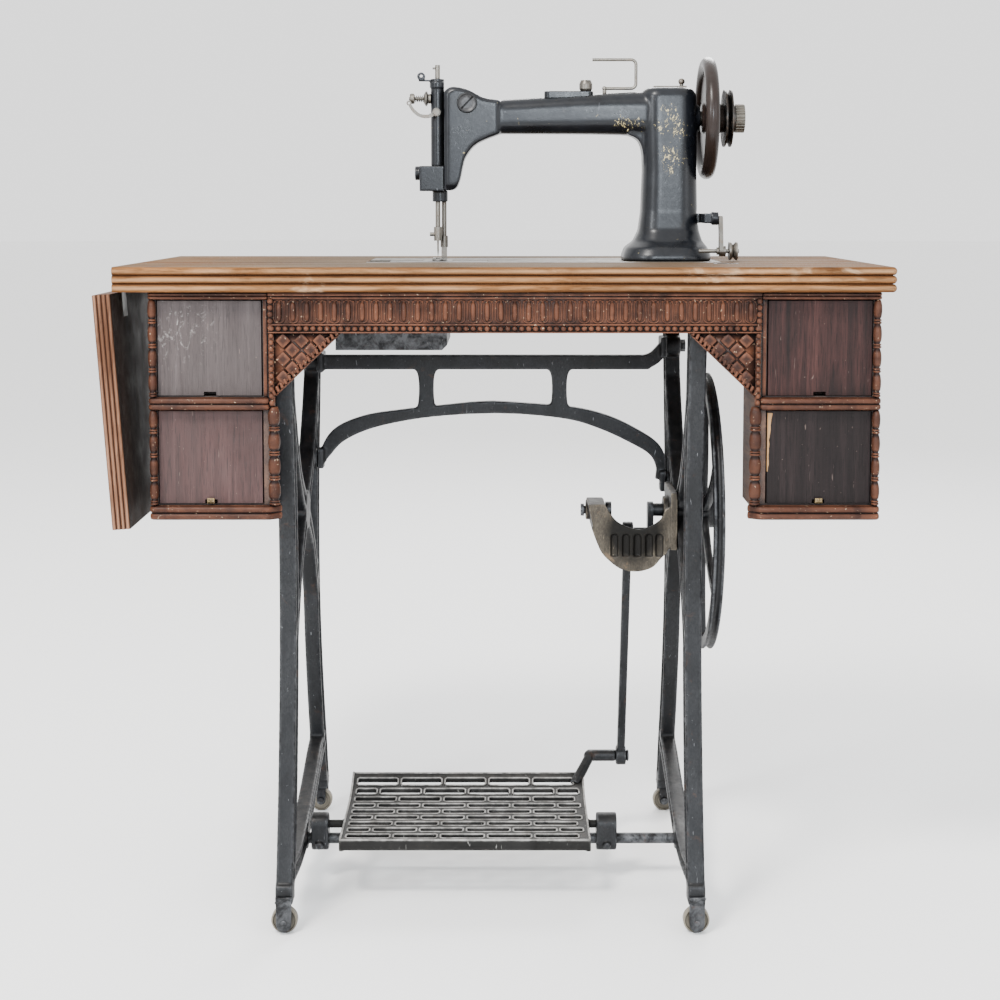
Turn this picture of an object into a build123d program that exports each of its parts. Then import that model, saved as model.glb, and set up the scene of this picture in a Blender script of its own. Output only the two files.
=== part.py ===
"""Antique treadle sewing machine: iron stand, wooden table with drawers, and the sewing head.

Lengths are millimetres, Z is up, X runs to the right and the front faces -Y. Everything is drawn
from the middle of the table top, and moved by CENTRE_X and CENTRE_Y when it is written, so that
the origin is on the floor under the middle of the whole object's box.
"""
from build123d import *
import math
import os

os.makedirs("parts", exist_ok=True)

CENTRE_X = 22.2          # half the amount by which the hanging leaf sticks out on the left
CENTRE_Y = -8.0          # half the amount by which the rear feet stick out behind the table

# table
TABLE_LEFT, TABLE_RIGHT = -443.2, 421.5
TABLE_HALF_DEPTH = 215.0
TABLE_TOP, TABLE_UNDER = 760.0, 732.0
REED_R = 4.6             # each of the three rounds along the table's edge
LEAF_THICK, LEAF_LONG = 20.5, 262.0
LEAF_LEAN = 4.0          # degrees by which the hanging leaf leans in at its foot
HINGE_X, HINGE_Z, KNUCKLE_R = -446.6, 739.0, 2.4

# drawer columns
COLUMN_LEFT, COLUMN_RIGHT = -340.0, 341.0
DRAWER_HALF = 58.5       # half the width of a drawer front
RAIL_HALF = 66.0         # half the width of the moulded rails
CANT_IN = 78.5           # the bottom rail and the inner post reach this far inward
INNER_POST, INNER_POST_R = 71.7, 6.8
FRONT = -200.0           # plane of the carved front
CASE_BACK = -45.0
CASE_WALL = 6.0
UPPER_DRAWER = (615.0, 722.5)
LOWER_DRAWER = (493.5, 599.0)
RAILS = ((723.5, 731.5), (600.0, 614.0), (476.5, 492.5))
APRON_LOW = 686.0

# side frames
FRAME_LEFT, FRAME_RIGHT = -262.0, 208.0
FLANGE, WEB, LIP = 20.0, 6.0, 6.0
BAR_Y, BAR_Z, BAR_R = -30.0, 50.0, 6.5
PIVOT_Z, PIVOT_R = 68.0, 5.0
WHEEL_Z = 454.0          # height of the drive wheel's shaft
SHAFT_R = 8.0
RUN = 0.06               # radial play of a running fit
CASTER_R, CASTER_W, CASTER_PIN_R = 15.0, 11.0, 3.0
FRONT_CASTER_Y, REAR_CASTER_Y = -195.0, 220.0

# drive
DRIVE_R, DRIVE_W, DRIVE_X = 169.0, 13.0, 234.5
CRANK_R = 27.0           # throw of the crank, standing with its pin straight down
PITMAN_X, PITMAN_T = 141.0, 13.0
ARM_Y, ARM_Z = 108.0, 111.0

# sewing head
HEAD_Y = 35.0            # plane of the arm and the needle
NEEDLE_X = -93.0
PRESSER_X, PRESSER_Y = -85.5, 43.0
HAND_Z = 934.0           # height of the main shaft
HAND_R, HAND_X = 74.5, 238.0
SPOOL_POST_X = 112.0


def block(x0, x1, y0, y1, z0, z1):
    return Pos((x0 + x1) / 2, (y0 + y1) / 2, (z0 + z1) / 2) * Box(x1 - x0, y1 - y0, z1 - z0)


def rod_x(x0, x1, y, z, r):
    return Pos((x0 + x1) / 2, y, z) * Rot(0, 90, 0) * Cylinder(r, x1 - x0)


def rod_y(x, y0, y1, z, r):
    return Pos(x, (y0 + y1) / 2, z) * Rot(90, 0, 0) * Cylinder(r, y1 - y0)


def rod_z(x, y, z0, z1, r):
    return Pos(x, y, (z0 + z1) / 2) * Cylinder(r, z1 - z0)


def smooth(stations, steps=6):
    """Stations on an even curve through the given ones."""
    last = len(stations) - 1
    out = []
    for i in range(last):
        p0, p1 = stations[max(i - 1, 0)], stations[i]
        p2, p3 = stations[i + 1], stations[min(i + 2, last)]
        for j in range(steps):
            t = j / steps
            out.append(tuple(0.5 * (2 * b + (c - a) * t + (2 * a - 5 * b + 4 * c - d) * t * t
                                    + (3 * b - a - 3 * c + d) * t ** 3)
                             for a, b, c, d in zip(p0, p1, p2, p3)))
    return out + [stations[-1]]


def side_points(stations, side, inset=0.0):
    """One side of a bar whose stations are (u, v, width)."""
    points = []
    last = len(stations) - 1
    for i, (u, v, w) in enumerate(stations):
        u0, v0, _ = stations[max(i - 1, 0)]
        u1, v1, _ = stations[min(i + 1, last)]
        d = math.hypot(u1 - u0, v1 - v0)
        off = side * (w / 2 - inset)
        points.append((u - (v1 - v0) / d * off, v + (u1 - u0) / d * off))
    return points


def ribbon(stations):
    """Flat bar along a smooth centre line."""
    dense = smooth(stations) if len(stations) > 2 else stations
    return make_face(Polyline(*side_points(dense, 1), *reversed(side_points(dense, -1)), close=True))


def along_x(face, x0, x1):
    """Raise a (y, z) drawing from x0 to x1."""
    return extrude(Plane.YZ.offset(x0) * face, amount=x1 - x0)


def along_y(face, y0, y1):
    """Raise an (x, z) drawing from y0 to y1."""
    return extrude(Plane.XZ.offset(-y1) * face, amount=y1 - y0)


def edge_strips(stations):
    """The two thin lips that follow the sides of a bar."""
    dense = smooth(stations)
    return [make_face(Polyline(*side_points(dense, side), *reversed(side_points(dense, side, LIP)),
                               close=True)) for side in (1, -1)]


def bolt_x(x, y, z, r, length, head_r, side):
    """Hexagon-headed bolt; side is +1 when the head is at the right end."""
    head = Pos(x, y, z) * Rot(0, 90, 0) * extrude(RegularPolygon(head_r, 6), head_r * 0.75 * side)
    return head + rod_x(min(x, x - side * length), max(x, x - side * length), y, z, r)


def lathe_x(profile, y, z):
    """Turn a (distance along x, radius) profile about the line through (y, z)."""
    face = make_face(Polyline(*profile, close=True))
    return Pos(0, y, z) * revolve(Plane.XY * face, Axis.X)


def lathe_z(profile, x, y):
    """Turn a (radius, height) profile about the upright line through (x, y)."""
    face = make_face(Polyline(*profile, close=True))
    return Pos(x, y, 0) * revolve(Plane.XZ * face, Axis.Z)


def save(name, shape):
    export_step(Pos(CENTRE_X, CENTRE_Y, 0) * shape, f"parts/{name}.step")


# ---------------------------------------------------------------- side frames
FRONT_LEG = [(-160, 724, 40), (-156, 680, 36), (-143, 600, 32), (-128, 480, 28), (-125, 380, 28),
             (-133, 280, 30), (-152, 170, 32), (-172, 95, 30), (-187, 52, 26)]
REAR_LEG = [(170, 724, 40), (165, 680, 36), (148, 600, 32), (124, 480, 28), (117, 380, 28),
            (128, 280, 30), (162, 170, 32), (195, 95, 30), (212, 52, 26)]
LOW_RAIL = [(-178, 62, 22), (-100, 54, 22), (BAR_Y, 58, 26), (60, 80, 22), (130, 100, 22),
            (190, 112, 22)]
CROSS_A = [(-141, 606, 24), (-75, 512, 18), (0, WHEEL_Z, 24), (70, 398, 18), (124, 318, 24)]
CROSS_B = [(147, 606, 24), (75, 512, 18), (0, WHEEL_Z, 24), (-70, 398, 18), (-130, 318, 24)]
TOP_RAIL_LOW = 714.0
HUB_R = 24.0
BRACE_Y0, BRACE_Y1 = 110.0, 122.0
FRAME_BOLTS = {"left": ((138.0, 626.0), (116.0, 502.0)), "right": ((138.0, 646.0), (116.0, 472.0))}
BOLT_R, BOLT_HEAD = 4.0, 8.0
HANGER_BOLTS = ((-32.0, 470.0), (32.0, 470.0))


def disc(y, z, r):
    return Pos(y, z) * Circle(r)


def side_frame(xc, side):
    half = FLANGE / 2
    bars = (FRONT_LEG, REAR_LEG, LOW_RAIL, CROSS_A, CROSS_B)
    top_rail = Pos(3.5, (TOP_RAIL_LOW + TABLE_UNDER) / 2) * Rectangle(377, TABLE_UNDER - TOP_RAIL_LOW)
    thin = ribbon(bars[0]) + [ribbon(b) for b in bars[1:]]
    thick = [strip for b in bars for strip in edge_strips(b)]
    thick += [disc(0, WHEEL_Z, HUB_R), disc(BAR_Y, 52, 15)]
    thick += [disc(y, z, 13) for y, z in FRAME_BOLTS[side]]
    holes = [disc(y, z, BOLT_R + 0.3) for y, z in FRAME_BOLTS[side]]
    holes.append(disc(BAR_Y, BAR_Z, BAR_R + 0.2))
    if side == "right":
        thick += [disc(y, z, 11) for y, z in HANGER_BOLTS]
        holes += [disc(y, z, BOLT_R + 0.3) for y, z in HANGER_BOLTS]
        holes.append(disc(0, WHEEL_Z, SHAFT_R + RUN))
    thick = top_rail + thick
    body = along_x(thick - holes, xc - half, xc + half)
    inward = 16 if side == "left" else -16
    foot_x = sorted((xc, xc + inward + math.copysign(half, inward)))
    added = [along_x(thin - holes, xc - WEB / 2, xc + WEB / 2),
             block(*foot_x, -150, 160, TABLE_UNDER - 6, TABLE_UNDER)]
    pin_holes = []
    for y, leg_y in ((FRONT_CASTER_Y, -187), (REAR_CASTER_Y, 212)):
        added.append(block(xc - half, xc + half, min(leg_y, y) - 9, max(leg_y, y) + 9, 34, 56))
        for cheek in (-1, 1):
            y0 = y + cheek * (CASTER_W / 2 + 0.8)
            y1 = y0 + cheek * 3.5
            added.append(block(xc - 7, xc + 7, min(y0, y1), max(y0, y1), CASTER_R, 36))
            added.append(rod_y(xc, min(y0, y1), max(y0, y1), CASTER_R, 7))
        pin_holes.append(rod_y(xc, y - 12, y + 12, CASTER_R, CASTER_PIN_R + 0.2))
    return body + added - pin_holes


save("left_side_frame", side_frame(FRAME_LEFT, "left"))
save("right_side_frame", side_frame(FRAME_RIGHT, "right"))

# ---------------------------------------------------------------- casters
caster_pins = None
for xc, cx in ((FRAME_LEFT, "left"), (FRAME_RIGHT, "right")):
    for y, cy in ((FRONT_CASTER_Y, "front"), (REAR_CASTER_Y, "rear")):
        pin = rod_y(xc, y - 11, y + 11, CASTER_R, CASTER_PIN_R)
        pin += rod_y(xc, y - 12.5, y - 10, CASTER_R, CASTER_PIN_R + 1.5)
        caster_pins = pin if caster_pins is None else caster_pins + pin
        half = CASTER_W / 2
        tread = make_face(Polyline(
            (CASTER_PIN_R + RUN, -half), (8, -half), (8, -half + 1.5), (12.5, -half + 1.5),
            (13, -half), (CASTER_R - 1, -half), (CASTER_R, -half + 1.5), (CASTER_R, half - 1.5),
            (CASTER_R - 1, half), (13, half), (12.5, half - 1.5), (8, half - 1.5), (8, half),
            (CASTER_PIN_R + RUN, half), close=True))
        wheel = revolve(Plane.XY * tread, Axis.Y)
        save(f"{cy}_{cx}_caster", Pos(xc, y, CASTER_R) * wheel)
save("caster_pins", caster_pins)

# ---------------------------------------------------------------- cross brace
ARCH = [(-247, 500, 12), (-227, 530, 20), (-190, 548, 19), (-140, 558, 15), (-90, 564, 14),
        (-33, 568, 16), (20, 566, 15), (77, 560, 17), (117, 549, 20), (152, 533, 20),
        (182, 514, 18), (192, 492, 14), (191, 474, 14)]
brace = block(-246, 176, BRACE_Y0, BRACE_Y1, 617, 636)
brace += along_y(ribbon([(170, 626.5, 19), (182, 632, 17), (194, 645, 16)]), BRACE_Y0, BRACE_Y1)
brace += along_y(ribbon(ARCH), BRACE_Y0, BRACE_Y1)
for x in (-111.5, 60.0):
    strut = [(x, 560, 34), (x, 572, 22), (x, 594, 19), (x, 612, 23), (x, 622, 38)]
    brace += along_y(ribbon(strut), BRACE_Y0, BRACE_Y1)
PAD = 8.0
left_face, right_face = FRAME_LEFT + FLANGE / 2, FRAME_RIGHT - FLANGE / 2
brace = brace & block(left_face + 0.5, right_face - 0.5, 90, 140, 400, 700)
for y, z in FRAME_BOLTS["left"]:
    brace += block(left_face, left_face + PAD, BRACE_Y0 - 4, max(y + 12, BRACE_Y1), z - 13, z + 13)
    brace -= rod_x(left_face - 1, left_face + PAD + 20, y, z, BOLT_R + 0.3)
for y, z in FRAME_BOLTS["right"]:
    brace += block(right_face - PAD, right_face, BRACE_Y0 - 4, max(y + 12, BRACE_Y1), z - 13, z + 13)
    brace -= rod_x(right_face - PAD - 20, right_face + 1, y, z, BOLT_R + 0.3)
save("cross_brace", brace)

bolts = None
for y, z in FRAME_BOLTS["left"]:
    b = bolt_x(FRAME_LEFT - FLANGE / 2, y, z, BOLT_R, FLANGE + PAD, BOLT_HEAD, -1)
    bolts = b if bolts is None else bolts + b
for y, z in FRAME_BOLTS["right"]:
    bolts += bolt_x(FRAME_RIGHT + FLANGE / 2, y, z, BOLT_R, FLANGE + PAD, BOLT_HEAD, 1)
for y, z in HANGER_BOLTS:
    bolts += bolt_x(FRAME_RIGHT + FLANGE / 2, y, z, BOLT_R, FLANGE + PAD, 7.0, 1)

# ---------------------------------------------------------------- crank hanger (guard cup)
RIM = [(110.2, 467.8), (122.3, 449.6), (135.6, 441.2), (150, 437.5), (163.4, 440), (178, 449.6),
       (182.8, 461.7)]
CUP = [(190, 465), (190, 430), (186.4, 411), (178, 401), (167, 390.3), (150, 385.5), (132, 388),
       (118.6, 396.4), (105.3, 411), (97.5, 434), (90, 467.8)]
crescent = make_face(Polyline(*smooth(RIM), *smooth(CUP), close=True))
shell_line = [(97, 440, 6), (107, 415, 6), (120, 402, 6), (134, 393, 6), (150, 389.5, 6),
              (166, 393, 6), (176, 404, 6), (185, 418, 6), (191, 436, 6)]
hanger = along_y(crescent, -45, -39.5)
hanger += along_y(ribbon(shell_line), -45, 28)
hanger += along_y(crescent, -45, 12) & block(80, 112, -60, 60, 380, 480)
hanger += rod_x(89, 108, 0, WHEEL_Z, 12)
hanger += block(right_face - PAD, right_face, -46, 46, 412, 482)
hanger += rod_x(184, right_face, 0, WHEEL_Z, 17)
RECESS_R, RECESS_LOW, RECESS_HIGH, RECESS_BACK = 4.5, 404.0, 427.5, -42.0
for x in (122.0, 136.0, 150.0, 164.0, 176.5):
    hanger -= block(x - RECESS_R, x + RECESS_R, -47, RECESS_BACK, RECESS_LOW, RECESS_HIGH)
    hanger -= rod_y(x, -47, RECESS_BACK, RECESS_HIGH, RECESS_R)
hanger -= block(PITMAN_X - 12, PITMAN_X + 12, -30, 60, 375, 400)
hanger -= rod_x(80, 112, 0, WHEEL_Z, 5.2)
hanger -= rod_x(108.2, 113, 0, WHEEL_Z, 8)
hanger -= rod_x(180, 200, 0, WHEEL_Z, SHAFT_R + 0.4)
for y, z in HANGER_BOLTS:
    hanger -= rod_x(180, 200, y, z, BOLT_R + 0.3)
save("crank_hanger", hanger)

cone = rod_x(87, 107, 0, WHEEL_Z, 5.0) + rod_x(83, 87, 0, WHEEL_Z, 7.5)
cone += Pos(108.5, 0, WHEEL_Z) * Rot(0, 90, 0) * Cone(5.0, 2.5, 3.0)
cone -= block(82, 84.5, -8, 8, WHEEL_Z - 0.9, WHEEL_Z + 0.9)
save("frame_bolts", bolts + cone)

# ---------------------------------------------------------------- drive wheel and crank
PIN_Y, PIN_Z = 0.0, WHEEL_Z - CRANK_R
half = DRIVE_W / 2
rim_profile = [(DRIVE_X - half, 154), (DRIVE_X + half, 154), (DRIVE_X + half, DRIVE_R),
               (DRIVE_X + 3.5, DRIVE_R), (DRIVE_X, DRIVE_R - 5), (DRIVE_X - 3.5, DRIVE_R),
               (DRIVE_X - half, DRIVE_R)]
wheel = lathe_x(rim_profile, 0, WHEEL_Z)
wheel += rod_x(221, 247, 0, WHEEL_Z, 22)
SPOKES = 6
for i in range(SPOKES):
    spoke = along_x(ribbon([(14, 0, 18), (60, 9, 14), (110, 9, 13), (157, 0, 18)]),
                    DRIVE_X - 4, DRIVE_X + 4)
    wheel += Pos(0, 0, WHEEL_Z) * Rot(i * 360 / SPOKES + 90, 0, 0) * spoke
wheel -= rod_x(215, 250, 0, WHEEL_Z, SHAFT_R + 0.05)
save("drive_wheel", wheel)

WEB_IN, WEB_OUT = (165.0, 172.0), (113.5, 120.5)
EYE = PITMAN_T / 2 + 1.0   # the crank pin stops this far from the middle of the pitman


def crank_web(x0, x1):
    web = along_x(ribbon([(0, WHEEL_Z, 20), (PIN_Y, PIN_Z, 17)]), x0, x1)
    return web + rod_x(x0, x1, 0, WHEEL_Z, 10) + rod_x(x0, x1, PIN_Y, PIN_Z, 8.5)


shaft = rod_x(WEB_IN[0], 258, 0, WHEEL_Z, SHAFT_R) + crank_web(*WEB_IN)
shaft += rod_x(PITMAN_X + EYE, WEB_IN[0] + 1, PIN_Y, PIN_Z, 5)
save("crank_shaft", shaft)
outer = crank_web(*WEB_OUT) + rod_x(108.7, WEB_OUT[1], 0, WHEEL_Z, 7)
outer += rod_x(WEB_OUT[1] - 1, PITMAN_X - EYE, PIN_Y, PIN_Z, 5)
outer -= Pos(109.7, 0, WHEEL_Z) * Rot(0, 90, 0) * Cone(3.9, 2.1, 2.2)
save("crank_outer_web", outer)
nut = Pos(247.2, 0, WHEEL_Z) * Rot(0, 90, 0) * extrude(RegularPolygon(13, 6), 8)
save("wheel_nut", nut - rod_x(240, 262, 0, WHEEL_Z, SHAFT_R + 0.1))

# ---------------------------------------------------------------- treadle
PLATE_X0, PLATE_X1 = -208.0, 92.0
PLATE_Y0, PLATE_Y1 = -110.0, 95.0
PLATE_TOP, PLATE_T = 76.0, 6.0
ROWS, BRICK, BAR = 9, 51.5, 5.0
mid = PLATE_TOP - PLATE_T / 2
profile = [(PLATE_Y0, mid, PLATE_T), (-60, mid, PLATE_T), (0, mid, PLATE_T), (30, mid + 0.6, PLATE_T),
           (55, mid + 3.5, PLATE_T), (76, mid + 9, PLATE_T), (PLATE_Y1, mid + 17, PLATE_T)]
plate = along_x(ribbon(profile), PLATE_X0, PLATE_X1)
row_pitch = (PLATE_Y1 - PLATE_Y0 - 10) / ROWS
for row in range(ROWS):
    y0 = PLATE_Y0 + 7 + row * row_pitch
    y1 = y0 + row_pitch - 8.5
    x = PLATE_X0 + 8 - (BRICK / 2 if row % 2 else 0)
    while x < PLATE_X1 - 12:
        x0, x1 = max(x, PLATE_X0 + 8), min(x + BRICK, PLATE_X1 - 8)
        if x1 - x0 > 8:
            plate -= block(x0, x1, y0, y1, 60, 110)
        x += BRICK + BAR
plate += block(PLATE_X0, PLATE_X1, PLATE_Y0, PLATE_Y0 + 5, 63, PLATE_TOP)
for x in (PLATE_X0, PLATE_X1 - 5):
    plate += block(x, x + 5, PLATE_Y0, 40, 62, PLATE_TOP - 1)
for x in (PLATE_X0, PLATE_X1 - 14):
    plate += block(x, x + 14, BAR_Y - 11, BAR_Y + 11, 61, 73)
plate += rod_x(-246, PLATE_X0 + 13, BAR_Y, PIVOT_Z, PIVOT_R)
plate += rod_x(PLATE_X1 - 13, 121, BAR_Y, PIVOT_Z, PIVOT_R)
save("treadle_plate", plate)
arm = loft([Plane(origin=(80, 78, 82), z_dir=(0.45, 0.6, 0.66)) * Circle(7),
            Plane(origin=(100, 104, 110), z_dir=(0.6, 0.3, 0.3)) * Circle(7)])
arm += Pos(100, ARM_Y - 2, ARM_Z) * Sphere(7.4)
arm += rod_x(98, PITMAN_X - PITMAN_T / 2 - 0.6, ARM_Y, ARM_Z, 7.5)
arm += rod_x(120, PITMAN_X + PITMAN_T / 2 + 1.5, ARM_Y, ARM_Z, 5.0)
arm += rod_x(PITMAN_X + PITMAN_T / 2 + 1.0, PITMAN_X + PITMAN_T / 2 + 4, ARM_Y, ARM_Z, 7.5)
save("treadle_arm", arm - plate)

save("treadle_bar", rod_x(FRAME_LEFT - 9, FRAME_RIGHT + 9, BAR_Y, BAR_Z, BAR_R))
bearings = None
for x0, x1 in ((-248.0, -227.0), (102.0, 127.0)):
    lug = block(x0, x1, BAR_Y - 14, BAR_Y + 14, BAR_Z, PIVOT_Z) + rod_x(x0, x1, BAR_Y, BAR_Z, 14)
    lug += rod_x(x0, x1, BAR_Y, PIVOT_Z, 14)
    lug -= rod_x(x0 - 1, x1 + 1, BAR_Y, BAR_Z, BAR_R + 0.2)
    lug -= rod_x(x0 - 1, x1 + 1, BAR_Y, PIVOT_Z, PIVOT_R + RUN)
    screw = rod_y((x0 + x1) / 2, BAR_Y - 20, BAR_Y - 12, BAR_Z - 4, 4.5)
    lug += screw
    bearings = lug if bearings is None else bearings + lug
save("treadle_bearings", bearings)

x0, x1 = PITMAN_X - PITMAN_T / 2, PITMAN_X + PITMAN_T / 2
pitman = along_x(ribbon([(ARM_Y, ARM_Z, 14), (PIN_Y, PIN_Z, 14)]), x0 + 1.5, x1 - 1.5)
pitman += rod_x(x0, x1, ARM_Y, ARM_Z, 12) + rod_x(x0, x1, PIN_Y, PIN_Z, 12)
pitman -= rod_x(x0 - 1, x1 + 1, ARM_Y, ARM_Z, 5.0 + RUN)
pitman -= rod_x(x0 - 1, x1 + 1, PIN_Y, PIN_Z, 5.3)
save("pitman", pitman)

# ---------------------------------------------------------------- table, leaf, hinges
BED = (-176.0, 248.0, HEAD_Y - 90, HEAD_Y + 90)
BELT_PLATE = (233.0, 262.0, -101.0, -83.0)
top = block(TABLE_LEFT, TABLE_RIGHT - REED_R, -TABLE_HALF_DEPTH + REED_R, TABLE_HALF_DEPTH - REED_R,
            TABLE_UNDER, TABLE_TOP)
for i in range(3):
    z = TABLE_UNDER + REED_R + i * (TABLE_TOP - TABLE_UNDER - 2 * REED_R) / 2
    for y in (-1, 1):
        top += rod_x(TABLE_LEFT, TABLE_RIGHT - REED_R, y * (TABLE_HALF_DEPTH - REED_R), z, REED_R)
        top += Pos(TABLE_RIGHT - REED_R, y * (TABLE_HALF_DEPTH - REED_R), z) * Sphere(REED_R)
    top += rod_y(TABLE_RIGHT - REED_R, -TABLE_HALF_DEPTH + REED_R, TABLE_HALF_DEPTH - REED_R, z,
                 REED_R)
top -= block(BED[0] - 0.5, BED[1] + 0.5, BED[2] - 0.5, BED[3] + 0.5, TABLE_UNDER - 1, TABLE_TOP + 1)
top -= block(*BELT_PLATE, TABLE_TOP - 2, TABLE_TOP + 1)
top -= block(BELT_PLATE[0] + 4, BELT_PLATE[1] - 4, -97, -87, TABLE_UNDER - 1, TABLE_TOP)
save("table_top", top)
belt_plate = block(BELT_PLATE[0] + 0.3, BELT_PLATE[1] - 0.3, BELT_PLATE[2] + 0.3,
                   BELT_PLATE[3] - 0.3, TABLE_TOP - 1.8, TABLE_TOP + 0.3)
belt_plate -= block(BELT_PLATE[0] + 5, BELT_PLATE[1] - 5, -96, -88, TABLE_TOP - 5, TABLE_TOP + 5)
save("belt_plate", belt_plate)

LEAF_TOP = 730.0
leaf = block(-LEAF_THICK, 0, -TABLE_HALF_DEPTH + 2, TABLE_HALF_DEPTH - 2, -LEAF_LONG, 0)
leaf_place = Pos(-445.5, 0, LEAF_TOP) * Rot(0, -LEAF_LEAN, 0)
save("drop_leaf", leaf_place * leaf)
KNUCKLE = 12.0
fixed_hinges, leaf_straps = None, None
for y in (-170.0, 140.0):
    knuckle = rod_y(HINGE_X, y, y + KNUCKLE, HINGE_Z, KNUCKLE_R)
    knuckle += block(HINGE_X + 1.7, TABLE_LEFT, y - 10, y + KNUCKLE, 732.5, 745)
    knuckle += rod_y(HINGE_X, y, y + 2 * KNUCKLE + 0.5, HINGE_Z, 1.2)
    fixed_hinges = knuckle if fixed_hinges is None else fixed_hinges + knuckle
    y1 = y + KNUCKLE + 0.5
    strap = rod_y(HINGE_X, y1, y1 + KNUCKLE, HINGE_Z, KNUCKLE_R)
    strap += block(-445.4, -444.0, y1, y1 + KNUCKLE, 729, HINGE_Z)
    strap += leaf_place * block(0, 1.4, y1, y1 + KNUCKLE + 10, -28, -0.5)
    strap -= rod_y(HINGE_X, y1 - 1, y1 + KNUCKLE + 1, HINGE_Z, 1.26)
    leaf_straps = strap if leaf_straps is None else leaf_straps + strap
save("hinge_plates", fixed_hinges)
save("hinge_straps", leaf_straps)

# ---------------------------------------------------------------- carved apron and brackets
APRON_L, APRON_R = COLUMN_LEFT + RAIL_HALF + 0.5, COLUMN_RIGHT - RAIL_HALF - 0.5
apron = block(APRON_L, APRON_R, FRONT, FRONT + 12, APRON_LOW, TABLE_UNDER)
apron += block(APRON_L, APRON_R, FRONT - 3, FRONT, TABLE_UNDER - 5, TABLE_UNDER - 1)
apron += rod_x(APRON_L, APRON_R, FRONT, APRON_LOW + 4, 3.6)
LOZENGE_PITCH = 15.4
count = int((APRON_R - APRON_L - 12) / LOZENGE_PITCH)
for i in range(count):
    x = (APRON_L + APRON_R) / 2 + (i - (count - 1) / 2) * LOZENGE_PITCH
    apron += block(x - 3, x + 3, FRONT - 2.5, FRONT + 1, APRON_LOW + 13, TABLE_UNDER - 12)
save("apron", apron)
BRACKET_W, BRACKET_H = 74.0, 71.0
BEAD_FOOT = 604.0        # lower end of the upright bead strips
brackets = None
for x, way in ((APRON_L + 6.5, 1), (APRON_R - 6.5, -1)):
    tri = make_face(Polyline((x, APRON_LOW - 0.2), (x + way * BRACKET_W, APRON_LOW - 0.2),
                             (x, APRON_LOW - BRACKET_H), close=True))
    bracket = along_y(tri, FRONT + 1, FRONT + 12)
    slope = ribbon([(x + way * (BRACKET_W - 5), APRON_LOW - 4, 8),
                    (x + way * 3.5, APRON_LOW - BRACKET_H + 6, 8)])
    bracket += along_y(slope, FRONT - 2, FRONT + 2)
    brackets = bracket if brackets is None else brackets + bracket
for x in (APRON_L + 3, APRON_R - 3):
    strip = block(x - 3, x + 3, FRONT + 0.5, FRONT + 10, BEAD_FOOT, APRON_LOW - 0.3)
    for i in range(14):
        strip += Pos(x, FRONT - 0.2, 608 + i * 5.6) * Sphere(3.4)
    brackets += strip
save("corner_brackets", brackets)

# ---------------------------------------------------------------- drawer columns


def turned_post(x, y, z0, z1, r):
    """Carved corner post: long bellies between ring pairs."""
    pitch = (z1 - z0) / round((z1 - z0) / 27.5)
    pts = [(0, z0)]
    for i in range(round((z1 - z0) / pitch)):
        z = z0 + i * pitch
        pts += [(r * 0.7, z), (r * 0.72, z + 1.5), (r, z + 2.5), (r, z + 4.5), (r * 0.72, z + 5.5),
                (r * 0.95, z + 11), (r, z + pitch * 0.58), (r * 0.95, z + pitch - 5),
                (r * 0.7, z + pitch - 0.01)]
    pts += [(0, z1)]
    return lathe_z(pts, x, y)


def drawer(xc, z0, z1, notch):
    half = DRAWER_HALF
    y0, y1 = FRONT + 8, CASE_BACK - CASE_WALL - 2
    inner = DRAWER_HALF - 3
    box = block(xc - inner, xc + inner, y0 + 6, y1, z0 + 1.5, z1 - 6)
    box -= block(xc - inner + 5, xc + inner - 5, y0 + 7, y1 - 5, z0 + 6, z1)
    box += block(xc - half + 0.8, xc + half - 0.8, y0, y0 + 12, z0 + 0.8, z1 - 0.8)
    box -= block(xc - half + 7, xc + half - 7, y0 + 9.9, y0 + 13, z0 + 8, z1 - 8)
    if notch:
        box -= block(xc - 7, xc + 7, y0 - 1, y0 + 14, z0, z0 + 5)
    return box


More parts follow.
